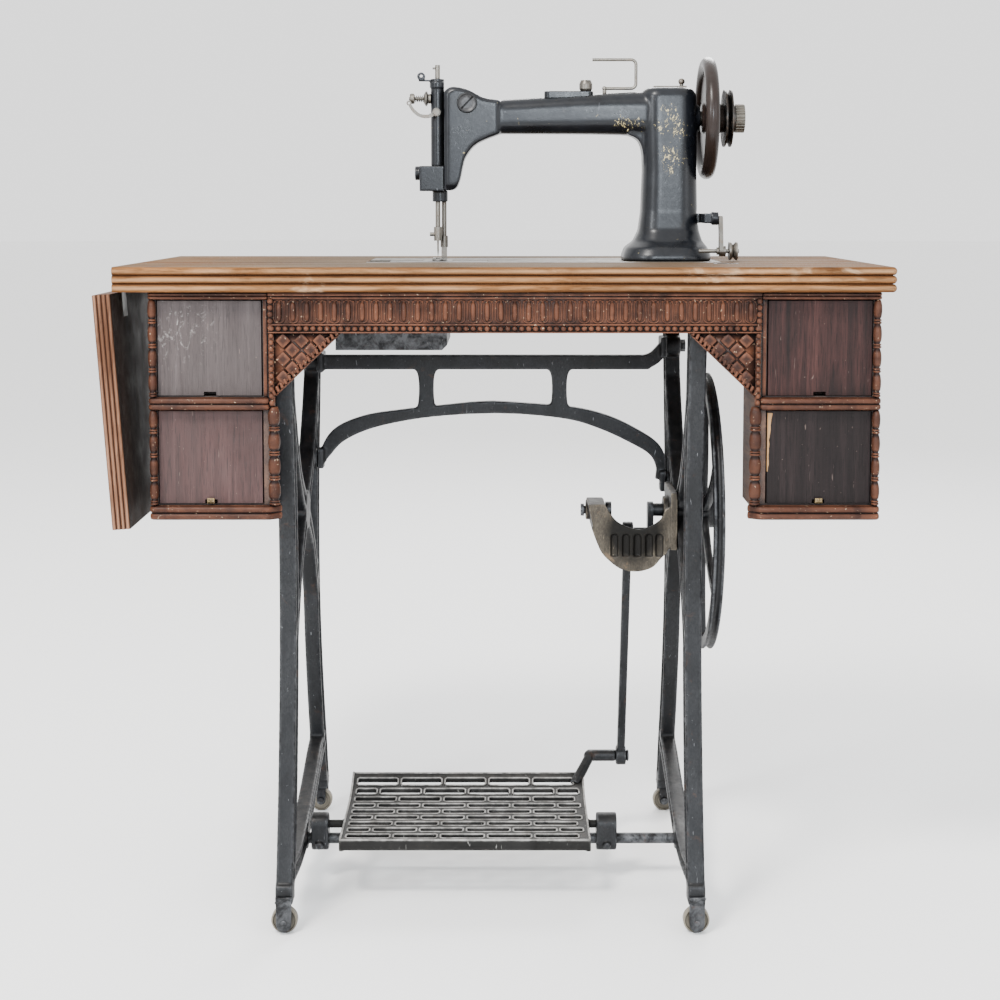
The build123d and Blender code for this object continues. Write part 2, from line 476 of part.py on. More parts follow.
cases, all_rails, all_posts = [], [], []
for side, xc, way in (("left", COLUMN_LEFT, 1), ("right", COLUMN_RIGHT, -1)):
    low, high = RAILS[2][0] + 1, TABLE_UNDER
    half = DRAWER_HALF + 0.7
    case = None
    y0 = FRONT + 10
    for x in (xc - half - CASE_WALL, xc + half):
        wall = block(x, x + CASE_WALL, y0, CASE_BACK, low, high)
        case = wall if case is None else case + wall
    case += block(xc - half - 1, xc + half + 1, CASE_BACK - CASE_WALL, CASE_BACK, low, high)
    case += block(xc - half - 1, xc + half + 1, y0, CASE_BACK, low, LOWER_DRAWER[0])
    case += block(xc - half - 1, xc + half + 1, y0, CASE_BACK, LOWER_DRAWER[1] + 1, UPPER_DRAWER[0])
    case += block(xc - half - 1, xc + half + 1, y0, CASE_BACK, UPPER_DRAWER[1] + 1, high)
    cases.append(case)
    rails = None
    for z0, z1 in RAILS:
        outer, inner = xc - way * RAIL_HALF, xc + way * (RAIL_HALF - 2)
        corner = xc + way * CANT_IN if z0 == RAILS[2][0] else inner
        plan = make_face(Polyline((outer + way * 2, y0 - 0.01), (outer + way * 2, FRONT), (inner, FRONT),
                                  (corner, y0 - 2), (corner, y0 - 0.01), close=True))
        rail = Pos(0, 0, z0) * extrude(plan, z1 - z0)
        bead = (z1 - z0) / 4
        for z in (z0 + bead, z1 - bead):
            rail += rod_x(min(outer, inner), max(outer, inner), FRONT, z, bead * 0.96)
        rail -= block(xc - half - CASE_WALL - 0.05, xc + half + CASE_WALL + 0.05, y0, CASE_BACK + 1,
                      z0 - 1, z1 + 1)
        rails = rail if rails is None else rails + rail
    all_rails.append(rails)
    posts = None
    outer_x, inner_x = xc - way * (RAIL_HALF - 3.2), xc + way * INNER_POST
    gap = 0.3
    spans = ((outer_x, RAILS[1][1] + gap, RAILS[0][0] - gap, 4.6),
             (outer_x, RAILS[2][1] + gap, RAILS[1][0] - gap, 4.6),
             (inner_x, RAILS[2][1] + gap, BEAD_FOOT - gap, INNER_POST_R))
    for x, z0, z1, r in spans:
        post = turned_post(x, FRONT + r - 1.6, z0, z1, r)
        posts = post if posts is None else posts + post
    all_posts.append(posts)
    save(f"upper_{side}_drawer", drawer(xc, *UPPER_DRAWER, True))
    save(f"lower_{side}_drawer", drawer(xc, *LOWER_DRAWER, True))
for name, pair in (("drawer_cases", cases), ("drawer_rails", all_rails), ("carved_posts", all_posts)):
    save(name, pair[0] + pair[1])

# ---------------------------------------------------------------- head casting
PILLAR = ((760.0, 108, 118, 188), (767, 107, 117, 188), (776, 100, 108, 188), (784, 84, 84, 190),
          (797, 74, 68, 191), (820, 69, 61, 191.5), (870, 66, 58, 191.8), (930, 68, 56, 191.5),
          (962, 66, 54, 191), (968, 60, 48, 190.5), (971, 50, 40, 190))
casting = loft([Plane(origin=(x, HEAD_Y, z)) * RectangleRounded(w, d, min(w, d) * 0.35)
                for z, w, d, x in PILLAR], ruled=True)
ARM = ((-26, 935.3, 41, 34), (20, 936.6, 44, 36), (60, 938, 47, 38), (95, 939, 49.5, 40.5),
       (130, 939.5, 52, 43), (160, 939.2, 55, 46), (185, 938, 60, 50))
casting += loft([Plane(origin=(x, HEAD_Y, z), x_dir=(0, 1, 0), z_dir=(1, 0, 0))
                 * RectangleRounded(d, h, d * 0.42) for x, z, h, d in ARM], ruled=True)
crook = make_face(Polyline((140, 913.2), (147, 911), (153, 907), (156.5, 900), (158.5, 890),
                           (158.8, 878), (172, 878), (172, 930), (140, 930), close=True))
casting += along_y(crook, HEAD_Y - 17, HEAD_Y + 17)
SNOUT_TOP = [(-84.8, 966, 0), (-75, 972, 0), (-55, 968.5, 0), (-36, 959, 0), (-16, 956, 0)]
SNOUT_UNDER = [(-16, 914.8, 0), (-44, 903, 0), (-58, 887, 0), (-63, 872, 0), (-67.7, 852, 0),
               (-75, 846, 0), (-84.8, 846, 0)]
snout_points = [p[:2] for p in smooth(SNOUT_TOP) + smooth(SNOUT_UNDER)]
casting += along_y(make_face(Polyline(*snout_points, close=True)), HEAD_Y - 17, HEAD_Y + 17)
snout_x, snout_z = -50.0, 925.0
inner_points = [(snout_x + (x - snout_x) * 0.9, snout_z + (z - snout_z) * 0.93)
                for x, z in snout_points]
casting += along_y(make_face(Polyline(*inner_points, close=True)), HEAD_Y - 19.5, HEAD_Y + 19.5)
casting += rod_x(220, 229, HEAD_Y, HAND_Z, 16)
casting -= rod_x(180, 240, HEAD_Y, HAND_Z, 9 + RUN)
casting -= rod_z(PRESSER_X, PRESSER_Y, 840, 915, 4.2)
casting -= rod_z(NEEDLE_X, HEAD_Y, 840, 990, 8.8)
casting -= rod_y(-56.4, HEAD_Y - 25, HEAD_Y - 14, 952.2, 6.2)
casting -= block(37.8, 98.2, HEAD_Y - 9.2, HEAD_Y + 9.2, 957.8, 975)
casting -= rod_z(SPOOL_POST_X, HEAD_Y, 950, 972, 2.4 + RUN)
casting -= block(218, 240, HEAD_Y - 15.2, HEAD_Y + 11.2, 805.8, 818.2)
save("head_casting", casting)

bed = block(BED[0], BED[1], BED[2], BED[3], TABLE_TOP - 10, TABLE_TOP)
bed += block(BED[0] + 8, BED[1] - 8, BED[2] + 8, BED[3] - 8, TABLE_TOP - 22, TABLE_TOP - 9)
bed -= block(BED[0] + 14, BED[1] - 14, BED[2] + 14, BED[3] - 14, TABLE_TOP - 30, TABLE_TOP - 10)
SLIDE = (-150.0, -31.0, HEAD_Y - 62, HEAD_Y + 45)
PLATE = (-111.0, -75.0, HEAD_Y - 14, HEAD_Y + 30)
bed -= block(BED[0] - 1, SLIDE[1], SLIDE[2], PLATE[2] - 0.3, TABLE_TOP - 3.2, TABLE_TOP + 1)
bed -= block(PLATE[0], PLATE[1], PLATE[2] - 0.3, PLATE[3], TABLE_TOP - 3.2, TABLE_TOP + 1)
bed -= block(-120, -66, HEAD_Y - 54, HEAD_Y + 20, TABLE_TOP - 12, TABLE_TOP - 3)
save("bed_plate", bed)
slide = block(SLIDE[0] + 0.4, SLIDE[1] - 0.4, SLIDE[2] + 0.4, PLATE[2] - 0.7, TABLE_TOP - 3.0,
              TABLE_TOP - 0.2)
save("slide_plate", slide - rod_z(-90, SLIDE[2] + 8, 755, 765, 3))
needle_plate = block(PLATE[0] + 0.3, PLATE[1] - 0.3, PLATE[2], PLATE[3] - 0.3, TABLE_TOP - 3.0,
                     TABLE_TOP - 0.1)
needle_plate -= rod_z(NEEDLE_X, HEAD_Y, 750, 770, 2.0)
for x in (-99.0, -87.5):
    needle_plate -= block(x - 1.2, x + 1.2, HEAD_Y - 9, HEAD_Y + 9, 750, 770)
save("needle_plate", needle_plate)
feed = None
for x in (-99.0, -87.5):
    bar = block(x - 0.9, x + 0.9, HEAD_Y - 8, HEAD_Y + 8, TABLE_TOP - 8, TABLE_TOP + 0.6)
    feed = bar if feed is None else feed + bar
feed += block(-100, -86.6, HEAD_Y - 8, HEAD_Y + 8, TABLE_TOP - 9, TABLE_TOP - 5)
feed -= rod_z(NEEDLE_X, HEAD_Y, 740, 770, 2.2)

pan = block(-214, -80, HEAD_Y - 72, HEAD_Y + 72, 654, 700)
pan -= block(-211, -83, HEAD_Y - 69, HEAD_Y + 69, 657, 701)
pan -= Pos(-78, HEAD_Y, 652) * Rot(0, 45, 0) * Box(14, 160, 14)
for y in (HEAD_Y - 70.5, HEAD_Y + 67.5):
    for x in (-168.0, -95.0):
        pan += block(x - 8, x + 8, y, y + 3, 695, TABLE_TOP - 22)
save("drip_pan", pan)
race = rod_y(NEEDLE_X, HEAD_Y - 22, HEAD_Y - 4, 716, 18)
race -= rod_y(NEEDLE_X, HEAD_Y - 23, HEAD_Y - 8, 716, 13.5)
race += rod_y(NEEDLE_X, HEAD_Y - 4, HEAD_Y + 60, 716, 6)
race += block(NEEDLE_X - 8, NEEDLE_X + 8, HEAD_Y + 26, HEAD_Y + 40, 716, TABLE_TOP - 10)
race -= block(NEEDLE_X - 4, NEEDLE_X + 4, HEAD_Y - 24, HEAD_Y - 8, 726, 745)
save("under_bed_works", race + feed)

# ---------------------------------------------------------------- head fittings
column = rod_z(NEEDLE_X, HEAD_Y, 876, 982, 8.3) + rod_z(NEEDLE_X, HEAD_Y, 971, 978, 9.6)
column = column & block(-120, -84.9, 0, 60, 870, 990)
tab = block(-116, -99, HEAD_Y - 3, HEAD_Y + 3, 979, 981)
tab += block(-116, -111, HEAD_Y - 3, HEAD_Y + 3, 979, 984)
tab += rod_y(-113, HEAD_Y - 3.5, HEAD_Y + 3.5, 985, 5) - rod_y(-113, HEAD_Y - 5, HEAD_Y + 5, 985.5, 2)
column += tab
column -= rod_z(NEEDLE_X, HEAD_Y, 870, 990, 3 + RUN)
save("needle_bar_guide", column - rod_z(PRESSER_X, PRESSER_Y, 870, 910, 3.4))
face = block(-115, -85.1, HEAD_Y - 14, HEAD_Y + 16, 845, 875.7)
face += rod_x(-121, -112, HEAD_Y, 867, 8.6) + rod_z(-90.2, HEAD_Y + 3, 832, 845.6, 9.5)
face = face & block(-130, -80, 0, 60, 832, 875.7)
face -= rod_z(NEEDLE_X, HEAD_Y, 820, 880, 3 + RUN)
face -= rod_z(PRESSER_X, PRESSER_Y, 820, 880, 3 + RUN)
save("face_block", face)
head_screw = rod_y(-56.4, HEAD_Y - 22.7, HEAD_Y - 19.6, 952.2, 12.4)
head_screw += rod_y(-56.4, HEAD_Y - 20, HEAD_Y - 14.5, 952.2, 6)
head_screw -= Pos(-56.4, HEAD_Y - 23, 952.2) * Rot(0, 35, 0) * Box(26, 3, 2.2)
save("head_screw", head_screw)

needle_bar = rod_z(NEEDLE_X, HEAD_Y, 792, 999, 3) + rod_z(NEEDLE_X, HEAD_Y, 784, 801, 5)
needle_bar += rod_x(NEEDLE_X - 10, NEEDLE_X - 3, HEAD_Y, 792, 2.4)
needle_bar += rod_x(NEEDLE_X - 6, NEEDLE_X + 3, HEAD_Y, 995, 1.2)
needle_bar += rod_z(NEEDLE_X, HEAD_Y, 772, 786, 1.1)
save("needle_bar", needle_bar + Pos(NEEDLE_X, HEAD_Y, 768) * Cone(0.2, 1.1, 8))

presser = rod_z(PRESSER_X, PRESSER_Y, 776, 896, 3) + rod_z(PRESSER_X, PRESSER_Y, 776, 790, 4.6)
save("presser_bar", presser)
foot = block(-99, -82, HEAD_Y - 16, HEAD_Y + 10, 760.8, 763)
foot += block(PRESSER_X - 3.4, PRESSER_X + 3.4, PRESSER_Y - 4.5, PRESSER_Y + 3.4, 762, 776)
foot -= block(NEEDLE_X - 2.5, NEEDLE_X + 2.5, HEAD_Y - 18, HEAD_Y + 3, 759, 765)
save("presser_foot", foot)

TENSION_X, TENSION_Z = -101.3, 958.0
stud = rod_x(-128, TENSION_X, HEAD_Y, TENSION_Z, 2.0) + rod_x(-104, TENSION_X, HEAD_Y, TENSION_Z, 6)
discs = lathe_x([(-110, 2.2), (-110, 5), (-107.4, 9.2), (-106.8, 9.2), (-108.4, 5), (-108.4, 2.2)],
                HEAD_Y, TENSION_Z)
discs += lathe_x([(-104.2, 2.2), (-104.2, 5), (-106.4, 9.2), (-106.0, 9.2), (-104.05, 5),
                  (-104.05, 2.2)], HEAD_Y, TENSION_Z)
save("tension_discs", discs)
coil = sweep(Plane(origin=(3.6, 0, 0), z_dir=(0, 1, 0)) * Circle(0.5), path=Helix(2.4, 9.6, 3.6))
save("tension_spring", Pos(-120.2, HEAD_Y, TENSION_Z) * Rot(0, 90, 0) * coil)
nut = lathe_x([(-127, 2.06), (-127, 5.5), (-125.5, 6.4), (-122, 6.4), (-121, 5), (-121, 2.06)],
              HEAD_Y, TENSION_Z)
save("tension_nut", nut)
lever = along_y(ribbon([(-96, 940, 5), (-104, 936, 4.5), (-114, 937, 4), (-122, 943, 4),
                        (-127, 951, 3.5)]), HEAD_Y - 14, HEAD_Y - 11.5)
lever += rod_y(-94, HEAD_Y - 15, HEAD_Y - 11, 941, 5)
lever += rod_y(-127.5, HEAD_Y - 14.2, HEAD_Y - 11.3, 952, 3)
lever -= rod_y(-127.5, HEAD_Y - 16, HEAD_Y - 10, 952, 1.3)
lever -= rod_y(-94, HEAD_Y - 17, HEAD_Y - 9, 941, 2 + RUN)
save("take_up_lever", lever)
pivot = rod_y(-94, HEAD_Y - 16.5, HEAD_Y - 8.4, 941, 2.0)
pivot += rod_y(-94, HEAD_Y - 17.8, HEAD_Y - 15.4, 941, 3.6)
save("head_studs", stud + pivot)
plate = block(38, 98, HEAD_Y - 9, HEAD_Y + 9, 958, 967)
plate = fillet(plate.edges().filter_by(Axis.Z), 6)
save("arm_top_plate", plate - rod_z(89, HEAD_Y, 963, 970, 3))
knob = lathe_z([(0, 963.2), (2.9, 963.2), (2.9, 967), (6.5, 967.2), (8, 970), (8, 976), (6, 980.5),
                (0, 981.2)], 89, HEAD_Y)
WIRE_R, WIRE_X0, WIRE_X1, WIRE_LOW, WIRE_HIGH = 1.9, 97.0, 150.5, 970.5, 1005.5
wire = rod_x(SPOOL_POST_X, WIRE_X1 - 6, HEAD_Y, WIRE_LOW, WIRE_R)
wire += rod_z(WIRE_X1, HEAD_Y, WIRE_LOW + 6, WIRE_HIGH - 6, WIRE_R)
wire += rod_x(WIRE_X0, WIRE_X1 - 6, HEAD_Y, WIRE_HIGH, WIRE_R)
quarter = revolve(Plane.XZ * Pos(6, 0) * Circle(WIRE_R), Axis.Z, revolution_arc=90)
bend = Rot(90, 0, 0) * quarter
wire += Pos(WIRE_X1 - 6, HEAD_Y, WIRE_HIGH - 6) * bend
wire += Pos(WIRE_X1 - 6, HEAD_Y, WIRE_LOW + 6) * Rot(0, 90, 0) * bend
wire += rod_z(SPOOL_POST_X, HEAD_Y, 952, WIRE_LOW, 2.4) + Pos(SPOOL_POST_X, HEAD_Y, WIRE_LOW) * Sphere(2.9)
save("spool_wire", wire)
cap = block(172, 212, HEAD_Y - 10, HEAD_Y + 10, 971.1, 973.2) + rod_z(206.5, HEAD_Y, 973, 977, 2.4)
cap += Pos(206.5, HEAD_Y, 979) * Sphere(4)
save("head_caps", cap + knob)

# ---------------------------------------------------------------- hand wheel
main = rod_x(186, 284, HEAD_Y, HAND_Z, 9)
save("main_shaft", main & block(100, 276, 0, 70, 900, 960))
rim_face = make_face([Spline((HAND_X - 8.2, 66.5), (HAND_X - 6, 72), (HAND_X, HAND_R),
                             (HAND_X + 6, 72), (HAND_X + 8.2, 66.5)),
                      Spline((HAND_X + 8.2, 66.5), (HAND_X + 5.5, 60.5), (HAND_X, 59),
                             (HAND_X - 5.5, 60.5), (HAND_X - 8.2, 66.5))])
hand = Pos(0, HEAD_Y, HAND_Z) * revolve(Plane.XY * rim_face, Axis.X)
hand += lathe_x([(231, 9.05), (231, 17), (234, 20), (236, 62), (241, 62), (243, 20), (258, 17),
                 (258, 9.05)], HEAD_Y, HAND_Z)
save("hand_wheel", hand)
pulley = lathe_x([(258.3, 9.05), (258.3, 35), (260.2, 35), (263, 29), (265.6, 35), (267.4, 35),
                  (267.4, 17), (271.8, 17), (271.8, 9.05)], HEAD_Y, HAND_Z)
save("belt_pulley", pulley)
stop = rod_x(272.3, 283.3, HEAD_Y, HAND_Z, 17.5)
for i in range(24):
    a = math.radians(i * 15)
    stop -= rod_x(270, 285, HEAD_Y + 18.2 * math.cos(a), HAND_Z + 18.2 * math.sin(a), 1.4)
save("stop_nut", stop - rod_x(270, 276.6, HEAD_Y, HAND_Z, 9.3))

# ---------------------------------------------------------------- bobbin winder
WIND_Y, WIND_Z = -33.0, 773.0
bracket = block(221, 238, HEAD_Y - 15, HEAD_Y + 11, 806, 818) + block(229, 238, -30, HEAD_Y, 806, 818)
bracket += rod_x(238, 246, -24, 812, 8)
bracket -= rod_x(236, 248, -24, 812, 3 + RUN)
save("winder_bracket", bracket)
arm = along_x(ribbon([(-24, 812, 13), (-30, 795, 10), (WIND_Y, WIND_Z, 14)]), 246.4, 251)
arm += rod_x(236, 251, -24, 812, 3) + rod_x(246.4, 254, WIND_Y, WIND_Z, 6.5)
arm -= rod_x(240, 260, WIND_Y, WIND_Z, 2.5 + RUN)
save("winder_arm", arm)
spindle = rod_x(222, 270, WIND_Y, WIND_Z, 2.5) + rod_x(243.5, 246, WIND_Y, WIND_Z, 4.5)
spindle += lathe_x([(258, 2), (258, 11), (260, 11), (263, 7.5), (266, 11), (268, 11), (268, 2)],
                   WIND_Y, WIND_Z)
save("winder_pulley", spindle)
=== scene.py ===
"""Looks of the treadle sewing machine: carved wood, worn black iron, aged steel, camera and light."""
import math
import random

import bpy
import bmesh
from mathutils import Matrix, Vector


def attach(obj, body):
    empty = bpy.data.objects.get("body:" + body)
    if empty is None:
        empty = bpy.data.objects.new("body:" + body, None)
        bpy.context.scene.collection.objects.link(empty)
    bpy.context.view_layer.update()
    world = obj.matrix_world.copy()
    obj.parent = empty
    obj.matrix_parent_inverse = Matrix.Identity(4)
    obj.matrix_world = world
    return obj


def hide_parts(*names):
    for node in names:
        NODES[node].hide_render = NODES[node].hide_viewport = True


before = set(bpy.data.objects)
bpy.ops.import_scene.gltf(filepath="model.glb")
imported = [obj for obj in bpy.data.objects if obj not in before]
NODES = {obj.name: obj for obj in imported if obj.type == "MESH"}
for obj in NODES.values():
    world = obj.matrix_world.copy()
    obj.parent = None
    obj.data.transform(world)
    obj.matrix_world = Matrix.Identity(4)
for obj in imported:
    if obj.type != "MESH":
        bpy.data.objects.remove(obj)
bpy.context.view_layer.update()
rng = random.Random(7)

# The script counts millimetres from the floor, midway between the drawer columns and under the middle of
# the table's depth, as P() takes them.
OFFSET = Vector((22.2, -8.0, 0.0))    # where that point lies in the frame
FRONT = -200.0                        # front plane of the apron and the drawer columns
HEAD_Y = 35.0                         # plane of the arm and the needle
LEFT_COLUMN, RIGHT_COLUMN = -340.0, 341.0            # middle of each drawer column, across the table
COLUMNS = ((LEFT_COLUMN, 1), (RIGHT_COLUMN, -1))     # with the direction towards the knee space
TOP_RAIL, MIDDLE_RAIL, LOW_RAIL = (723.5, 731.5), (600.0, 614.0), (476.5, 492.5)   # heights
APRON_L, APRON_R = -273.5, 274.5      # ends of the apron
LOW, HIGH = 686.0, 732.0              # bottom and top of the apron
BEAD_PITCH = 7.5                      # of the upright bead strips


def P(x, y, z):
    """A point in the script's millimetres, as metres in the frame."""
    return (Vector((x, y, z)) + OFFSET) / 1000


# ------------------------------------------------------------------ material helpers
class Nodes:
    """Short names for the shader nodes used here; constants go on the shader's own sockets."""

    def __init__(self, name):
        self.mat = bpy.data.materials.new(name)
        self.mat.use_nodes = True
        self.tree = self.mat.node_tree
        self.bsdf = self.tree.nodes["Principled BSDF"]
        self.coord = self.tree.nodes.new("ShaderNodeTexCoord").outputs["Object"]

    def link(self, value, socket):
        if isinstance(value, bpy.types.NodeSocket):
            self.tree.links.new(value, socket)
        elif hasattr(socket.default_value, "__len__"):
            v = tuple(value) if hasattr(value, "__len__") else (value,) * 3
            n = len(socket.default_value)
            socket.default_value = (v + (1.0,))[:n] if len(v) < n else v[:n]
        else:
            socket.default_value = value

    def make(self, kind, out=0, sockets=None, **props):
        node = self.tree.nodes.new(kind)
        for k, v in props.items():
            setattr(node, k, v)
        for k, v in (sockets or {}).items():
            self.link(v, node.inputs[k])
        return node.outputs[out]

    def scaled(self, scale, shift):
        return self.make("ShaderNodeMapping", sockets={0: self.coord, 1: shift, 3: scale})

    def noise(self, scale, stretch=(1, 1, 1), detail=4.0, rough=0.55, warp=0.0, shift=(0, 0, 0)):
        return self.make("ShaderNodeTexNoise", sockets={
            "Vector": self.scaled(stretch, shift), "Scale": scale, "Detail": detail,
            "Roughness": rough, "Distortion": warp})

    def ramp(self, value, *stops):
        node = self.tree.nodes.new("ShaderNodeValToRGB")
        self.link(value, node.inputs[0])
        elements = node.color_ramp.elements
        while len(elements) < len(stops):
            elements.new(0.5)
        for element, (at, colour) in zip(elements, stops):
            element.position = at
            c = colour if hasattr(colour, "__len__") else (colour,) * 3
            element.color = (*c, 1.0)
        return node.outputs[0]

    def mix(self, amount, a, b):
        """Colour a, or colour b where amount is 1. Sockets 6, 7 and 2 are the node's colour ones."""
        node = self.tree.nodes.new("ShaderNodeMix")
        node.data_type, node.blend_type = "RGBA", "MIX"
        self.link(amount, node.inputs[0])
        self.link(a, node.inputs[6])
        self.link(b, node.inputs[7])
        return node.outputs[2]

    def maths(self, op, a, b=0.0):
        return self.make("ShaderNodeMath", sockets={0: a, 1: b}, operation=op)

    def product(self, a, *rest):
        for b in rest:
            a = self.maths("MULTIPLY", a, b)
        return a

    def axis(self, which, source=None):
        """The x, y or z part (0, 1 or 2) of source, or of the place in the frame."""
        node = self.tree.nodes.new("ShaderNodeSeparateXYZ")
        self.link(source or self.coord, node.inputs[0])
        return node.outputs[which]

    def normal(self, which):
        return self.axis(which, self.make("ShaderNodeNewGeometry", out="Normal"))

    def edges(self, low, high):
        """1 on outer edges and crests."""
        point = self.make("ShaderNodeNewGeometry", out="Pointiness")
        return self.ramp(point, (low, 0.0), (high, 1.0))

    def crevice(self, distance, low=0.35, high=0.95):
        """1 where other surfaces stand closer than distance (metres); the mask for painted shade in crevices.
        """
        shade = self.make("ShaderNodeAmbientOcclusion", out=1, samples=8,
                          sockets={"Distance": distance})
        return self.ramp(shade, (low, 1.0), (high, 0.0))

    def spot(self, centre, radius, soft):
        """1 inside a ball at centre (millimetres), falling to 0 at its edge."""
        at = self.make("ShaderNodeVectorMath", out=1, operation="DISTANCE",
                       sockets={0: self.coord, 1: P(*centre)})
        node = self.tree.nodes.new("ShaderNodeMapRange")
        self.link(at, node.inputs[0])
        limits = (radius / 1000, radius / 1000 * (1 - soft), 0.0, 1.0)
        for socket, value in zip(node.inputs[1:5], limits):
            socket.default_value = value
        return node.outputs[0]

    def bump(self, height, strength, distance, under=None):
        node = self.tree.nodes.new("ShaderNodeBump")
        node.inputs["Strength"].default_value = strength
        node.inputs["Distance"].default_value = distance
        self.link(height, node.inputs["Height"])
        if under is not None:
            self.link(under, node.inputs["Normal"])
        return node.outputs[0]

    def done(self, colour, rough, normal=None, metal=None, coat=0.0, spec=0.5):
        self.link(colour, self.bsdf.inputs["Base Color"])
        self.link(rough, self.bsdf.inputs["Roughness"])
        if metal is not None:
            self.link(metal, self.bsdf.inputs["Metallic"])
        self.bsdf.inputs["Coat Weight"].default_value = coat
        self.bsdf.inputs["Coat Roughness"].default_value = 0.25
        self.bsdf.inputs["Specular IOR Level"].default_value = spec
        if normal is not None:
            self.link(normal, self.bsdf.inputs["Normal"])
        return self.mat


# Noise is stretched along the grain
GRAIN = {"x": (0.045, 1, 1), "y": (1, 0.045, 1), "z": (1, 1, 0.045)}
# Centre and radius of each patch of gold: two on the arm, four at the top of the pillar, three below them
FLECK_PATCHES = (((134, 17, 928), 13), ((150, 17, 926), 12), ((188, 8, 943), 11), ((181, 8, 924), 12),
                 ((201, 9, 918), 14), ((196, 8, 934), 9), ((189, 8, 890), 15), ((199, 8, 884), 14),
                 ((191, 8, 871), 10))


def wood_layers(n, along, dark, mid, light, fine=1.0):
    """Long grain, short dark pores and a slow change of tone; returns colour and height."""
    s = GRAIN[along]
    grain = n.noise(95 * fine, s, 6, 0.6, 0.6)
    pores = n.noise(620 * fine, s, 3, 0.7, 0.1, (3, 1, 2))
    slow = n.noise(7, (1, 1, 1), 3, 0.5, 0.4, (9, 4, 1))
    colour = n.ramp(grain, (0.3, dark), (0.52, mid), (0.72, light))
    colour = n.mix(n.ramp(slow, (0.35, 0.0), (0.7, 0.55)), colour, dark)
    pore_mask = n.ramp(pores, (0.36, 0.75), (0.46, 0.0))
    colour = n.mix(pore_mask, colour, tuple(c * 0.35 for c in dark))
    height = n.maths("SUBTRACT", n.product(grain, 0.5), pore_mask)
    return colour, height


def table_material():
    n = Nodes("weathered_oak")
    colour, height = wood_layers(n, "x", (0.05, 0.019, 0.007), (0.14, 0.057, 0.02),
                                 (0.27, 0.123, 0.046))
    top_grain = n.noise(70, GRAIN["x"], 7, 0.65, 0.8, (5, 5, 5))
    top = n.ramp(top_grain, (0.3, (0.05, 0.027, 0.014)), (0.5, (0.125, 0.073, 0.038)),
                 (0.7, (0.23, 0.147, 0.083)))
    patches = n.ramp(n.noise(6, (1, 1.6, 1), 5, 0.6, 0.7, (1, 8, 3)), (0.42, 0.0), (0.62, 1.0))
    top = n.mix(n.product(patches, 0.7), top, (0.12, 0.052, 0.02))
    middle = n.ramp(n.maths("ABSOLUTE", n.axis(0)), (0.2, 0.75), (0.36, 0.0))
    bleached = n.ramp(top_grain, (0.3, (0.055, 0.04, 0.027)), (0.7, (0.15, 0.113, 0.078)))
    top = n.mix(middle, top, bleached)
    stains = n.ramp(n.noise(13, (1, 1, 1), 6, 0.65, 1.2, (2, 2, 7)), (0.56, 0.0), (0.68, 0.8))
    top = n.mix(stains, top, (0.08, 0.055, 0.04))
    up = n.ramp(n.normal(2), (0.8, 0.0), (0.97, 1.0))
    colour = n.mix(up, colour, top)
    down = n.ramp(n.normal(2), (0.0, 0.0), (1.0, 1.0))
    groove_shade = n.crevice(0.005, 0.55, 0.98)
    # Wear and painted highlight: upright faces of the edge mouldings turn pale gold in worn patches.
    crest_highlight = n.ramp(n.maths("ABSOLUTE", n.normal(2)), (0.1, 1.0), (0.75, 0.0))
    worn = n.ramp(n.noise(46, (0.18, 1, 1), 6, 0.7, 0.5, (6, 1, 4)), (0.36, 0.1), (0.58, 0.85))
    colour = n.mix(n.product(crest_highlight, worn, 0.7), colour, (0.42, 0.25, 0.13))
    # Painted shade: the grooves between the edge mouldings are darkened.
    colour = n.mix(n.ramp(groove_shade, (0.1, 0.0), (0.8, 0.72)), colour, (0.042, 0.015, 0.0065))
    rubbed = n.ramp(n.noise(30, (0.3, 1, 1), 5, 0.7, 0.5, (2, 7, 4)), (0.6, 0.0), (0.72, 0.5))
    colour = n.mix(n.product(rubbed, n.ramp(down, (0.0, 1.0), (0.9, 0.2))), colour,
                   (0.6, 0.45, 0.3))
    dents = n.ramp(n.noise(150, (1, 1, 1), 2, 0.5, 0, (4, 4, 1)), (0.3, 0.0), (0.42, 1.0))
    normal = n.bump(height, 0.5, 0.0006)
    normal = n.bump(dents, 0.3, 0.0007, normal)
    rough = n.ramp(n.noise(30, GRAIN["x"]), (0.3, 0.52), (0.7, 0.75))
    return n.done(colour, rough, normal, spec=0.02)


def leaf_material():
    n = Nodes("leaf_oak")
    colour, height = wood_layers(n, "z", (0.05, 0.019, 0.008), (0.105, 0.045, 0.024),
                                 (0.2, 0.097, 0.056), 1.1)
    # Painted shade: the face turned towards the table is coloured near black.
    inner = n.ramp(n.normal(0), (0.5, 0.0), (0.9, 1.0))
    painted_shade_tone = n.ramp(n.noise(60, GRAIN["z"], 5, 0.6, 0.5), (0.3, (0.005, 0.003, 0.0022)),
                        (0.7, (0.019, 0.0105, 0.0075)))
    colour = n.mix(inner, colour, painted_shade_tone)
    # Painted shade in the grooves between the reeds.
    groove_shade = n.crevice(0.004, 0.5, 0.95)
    colour = n.mix(n.product(groove_shade, 0.62), colour, (0.05, 0.02, 0.012))
    # Wear and painted highlight: the crests of the reeds on the front and back edges turn pale in worn
    # patches.
    crest_highlight = n.ramp(n.maths("ABSOLUTE", n.normal(0)), (0.1, 1.0), (0.75, 0.0))
    worn = n.ramp(n.noise(46, (1, 1, 0.18), 6, 0.7, 0.5, (6, 1, 4)), (0.4, 0.1), (0.6, 0.8))
    front = n.ramp(n.maths("ABSOLUTE", n.normal(1)), (0.3, 0.0), (0.7, 1.0))
    colour = n.mix(n.product(crest_highlight, worn, front), colour,
                   (0.27, 0.145, 0.09))
    return n.done(colour, n.ramp(n.noise(30), (0.3, 0.45), (0.7, 0.7)),
                  n.bump(height, 0.5, 0.0006), spec=0.1)


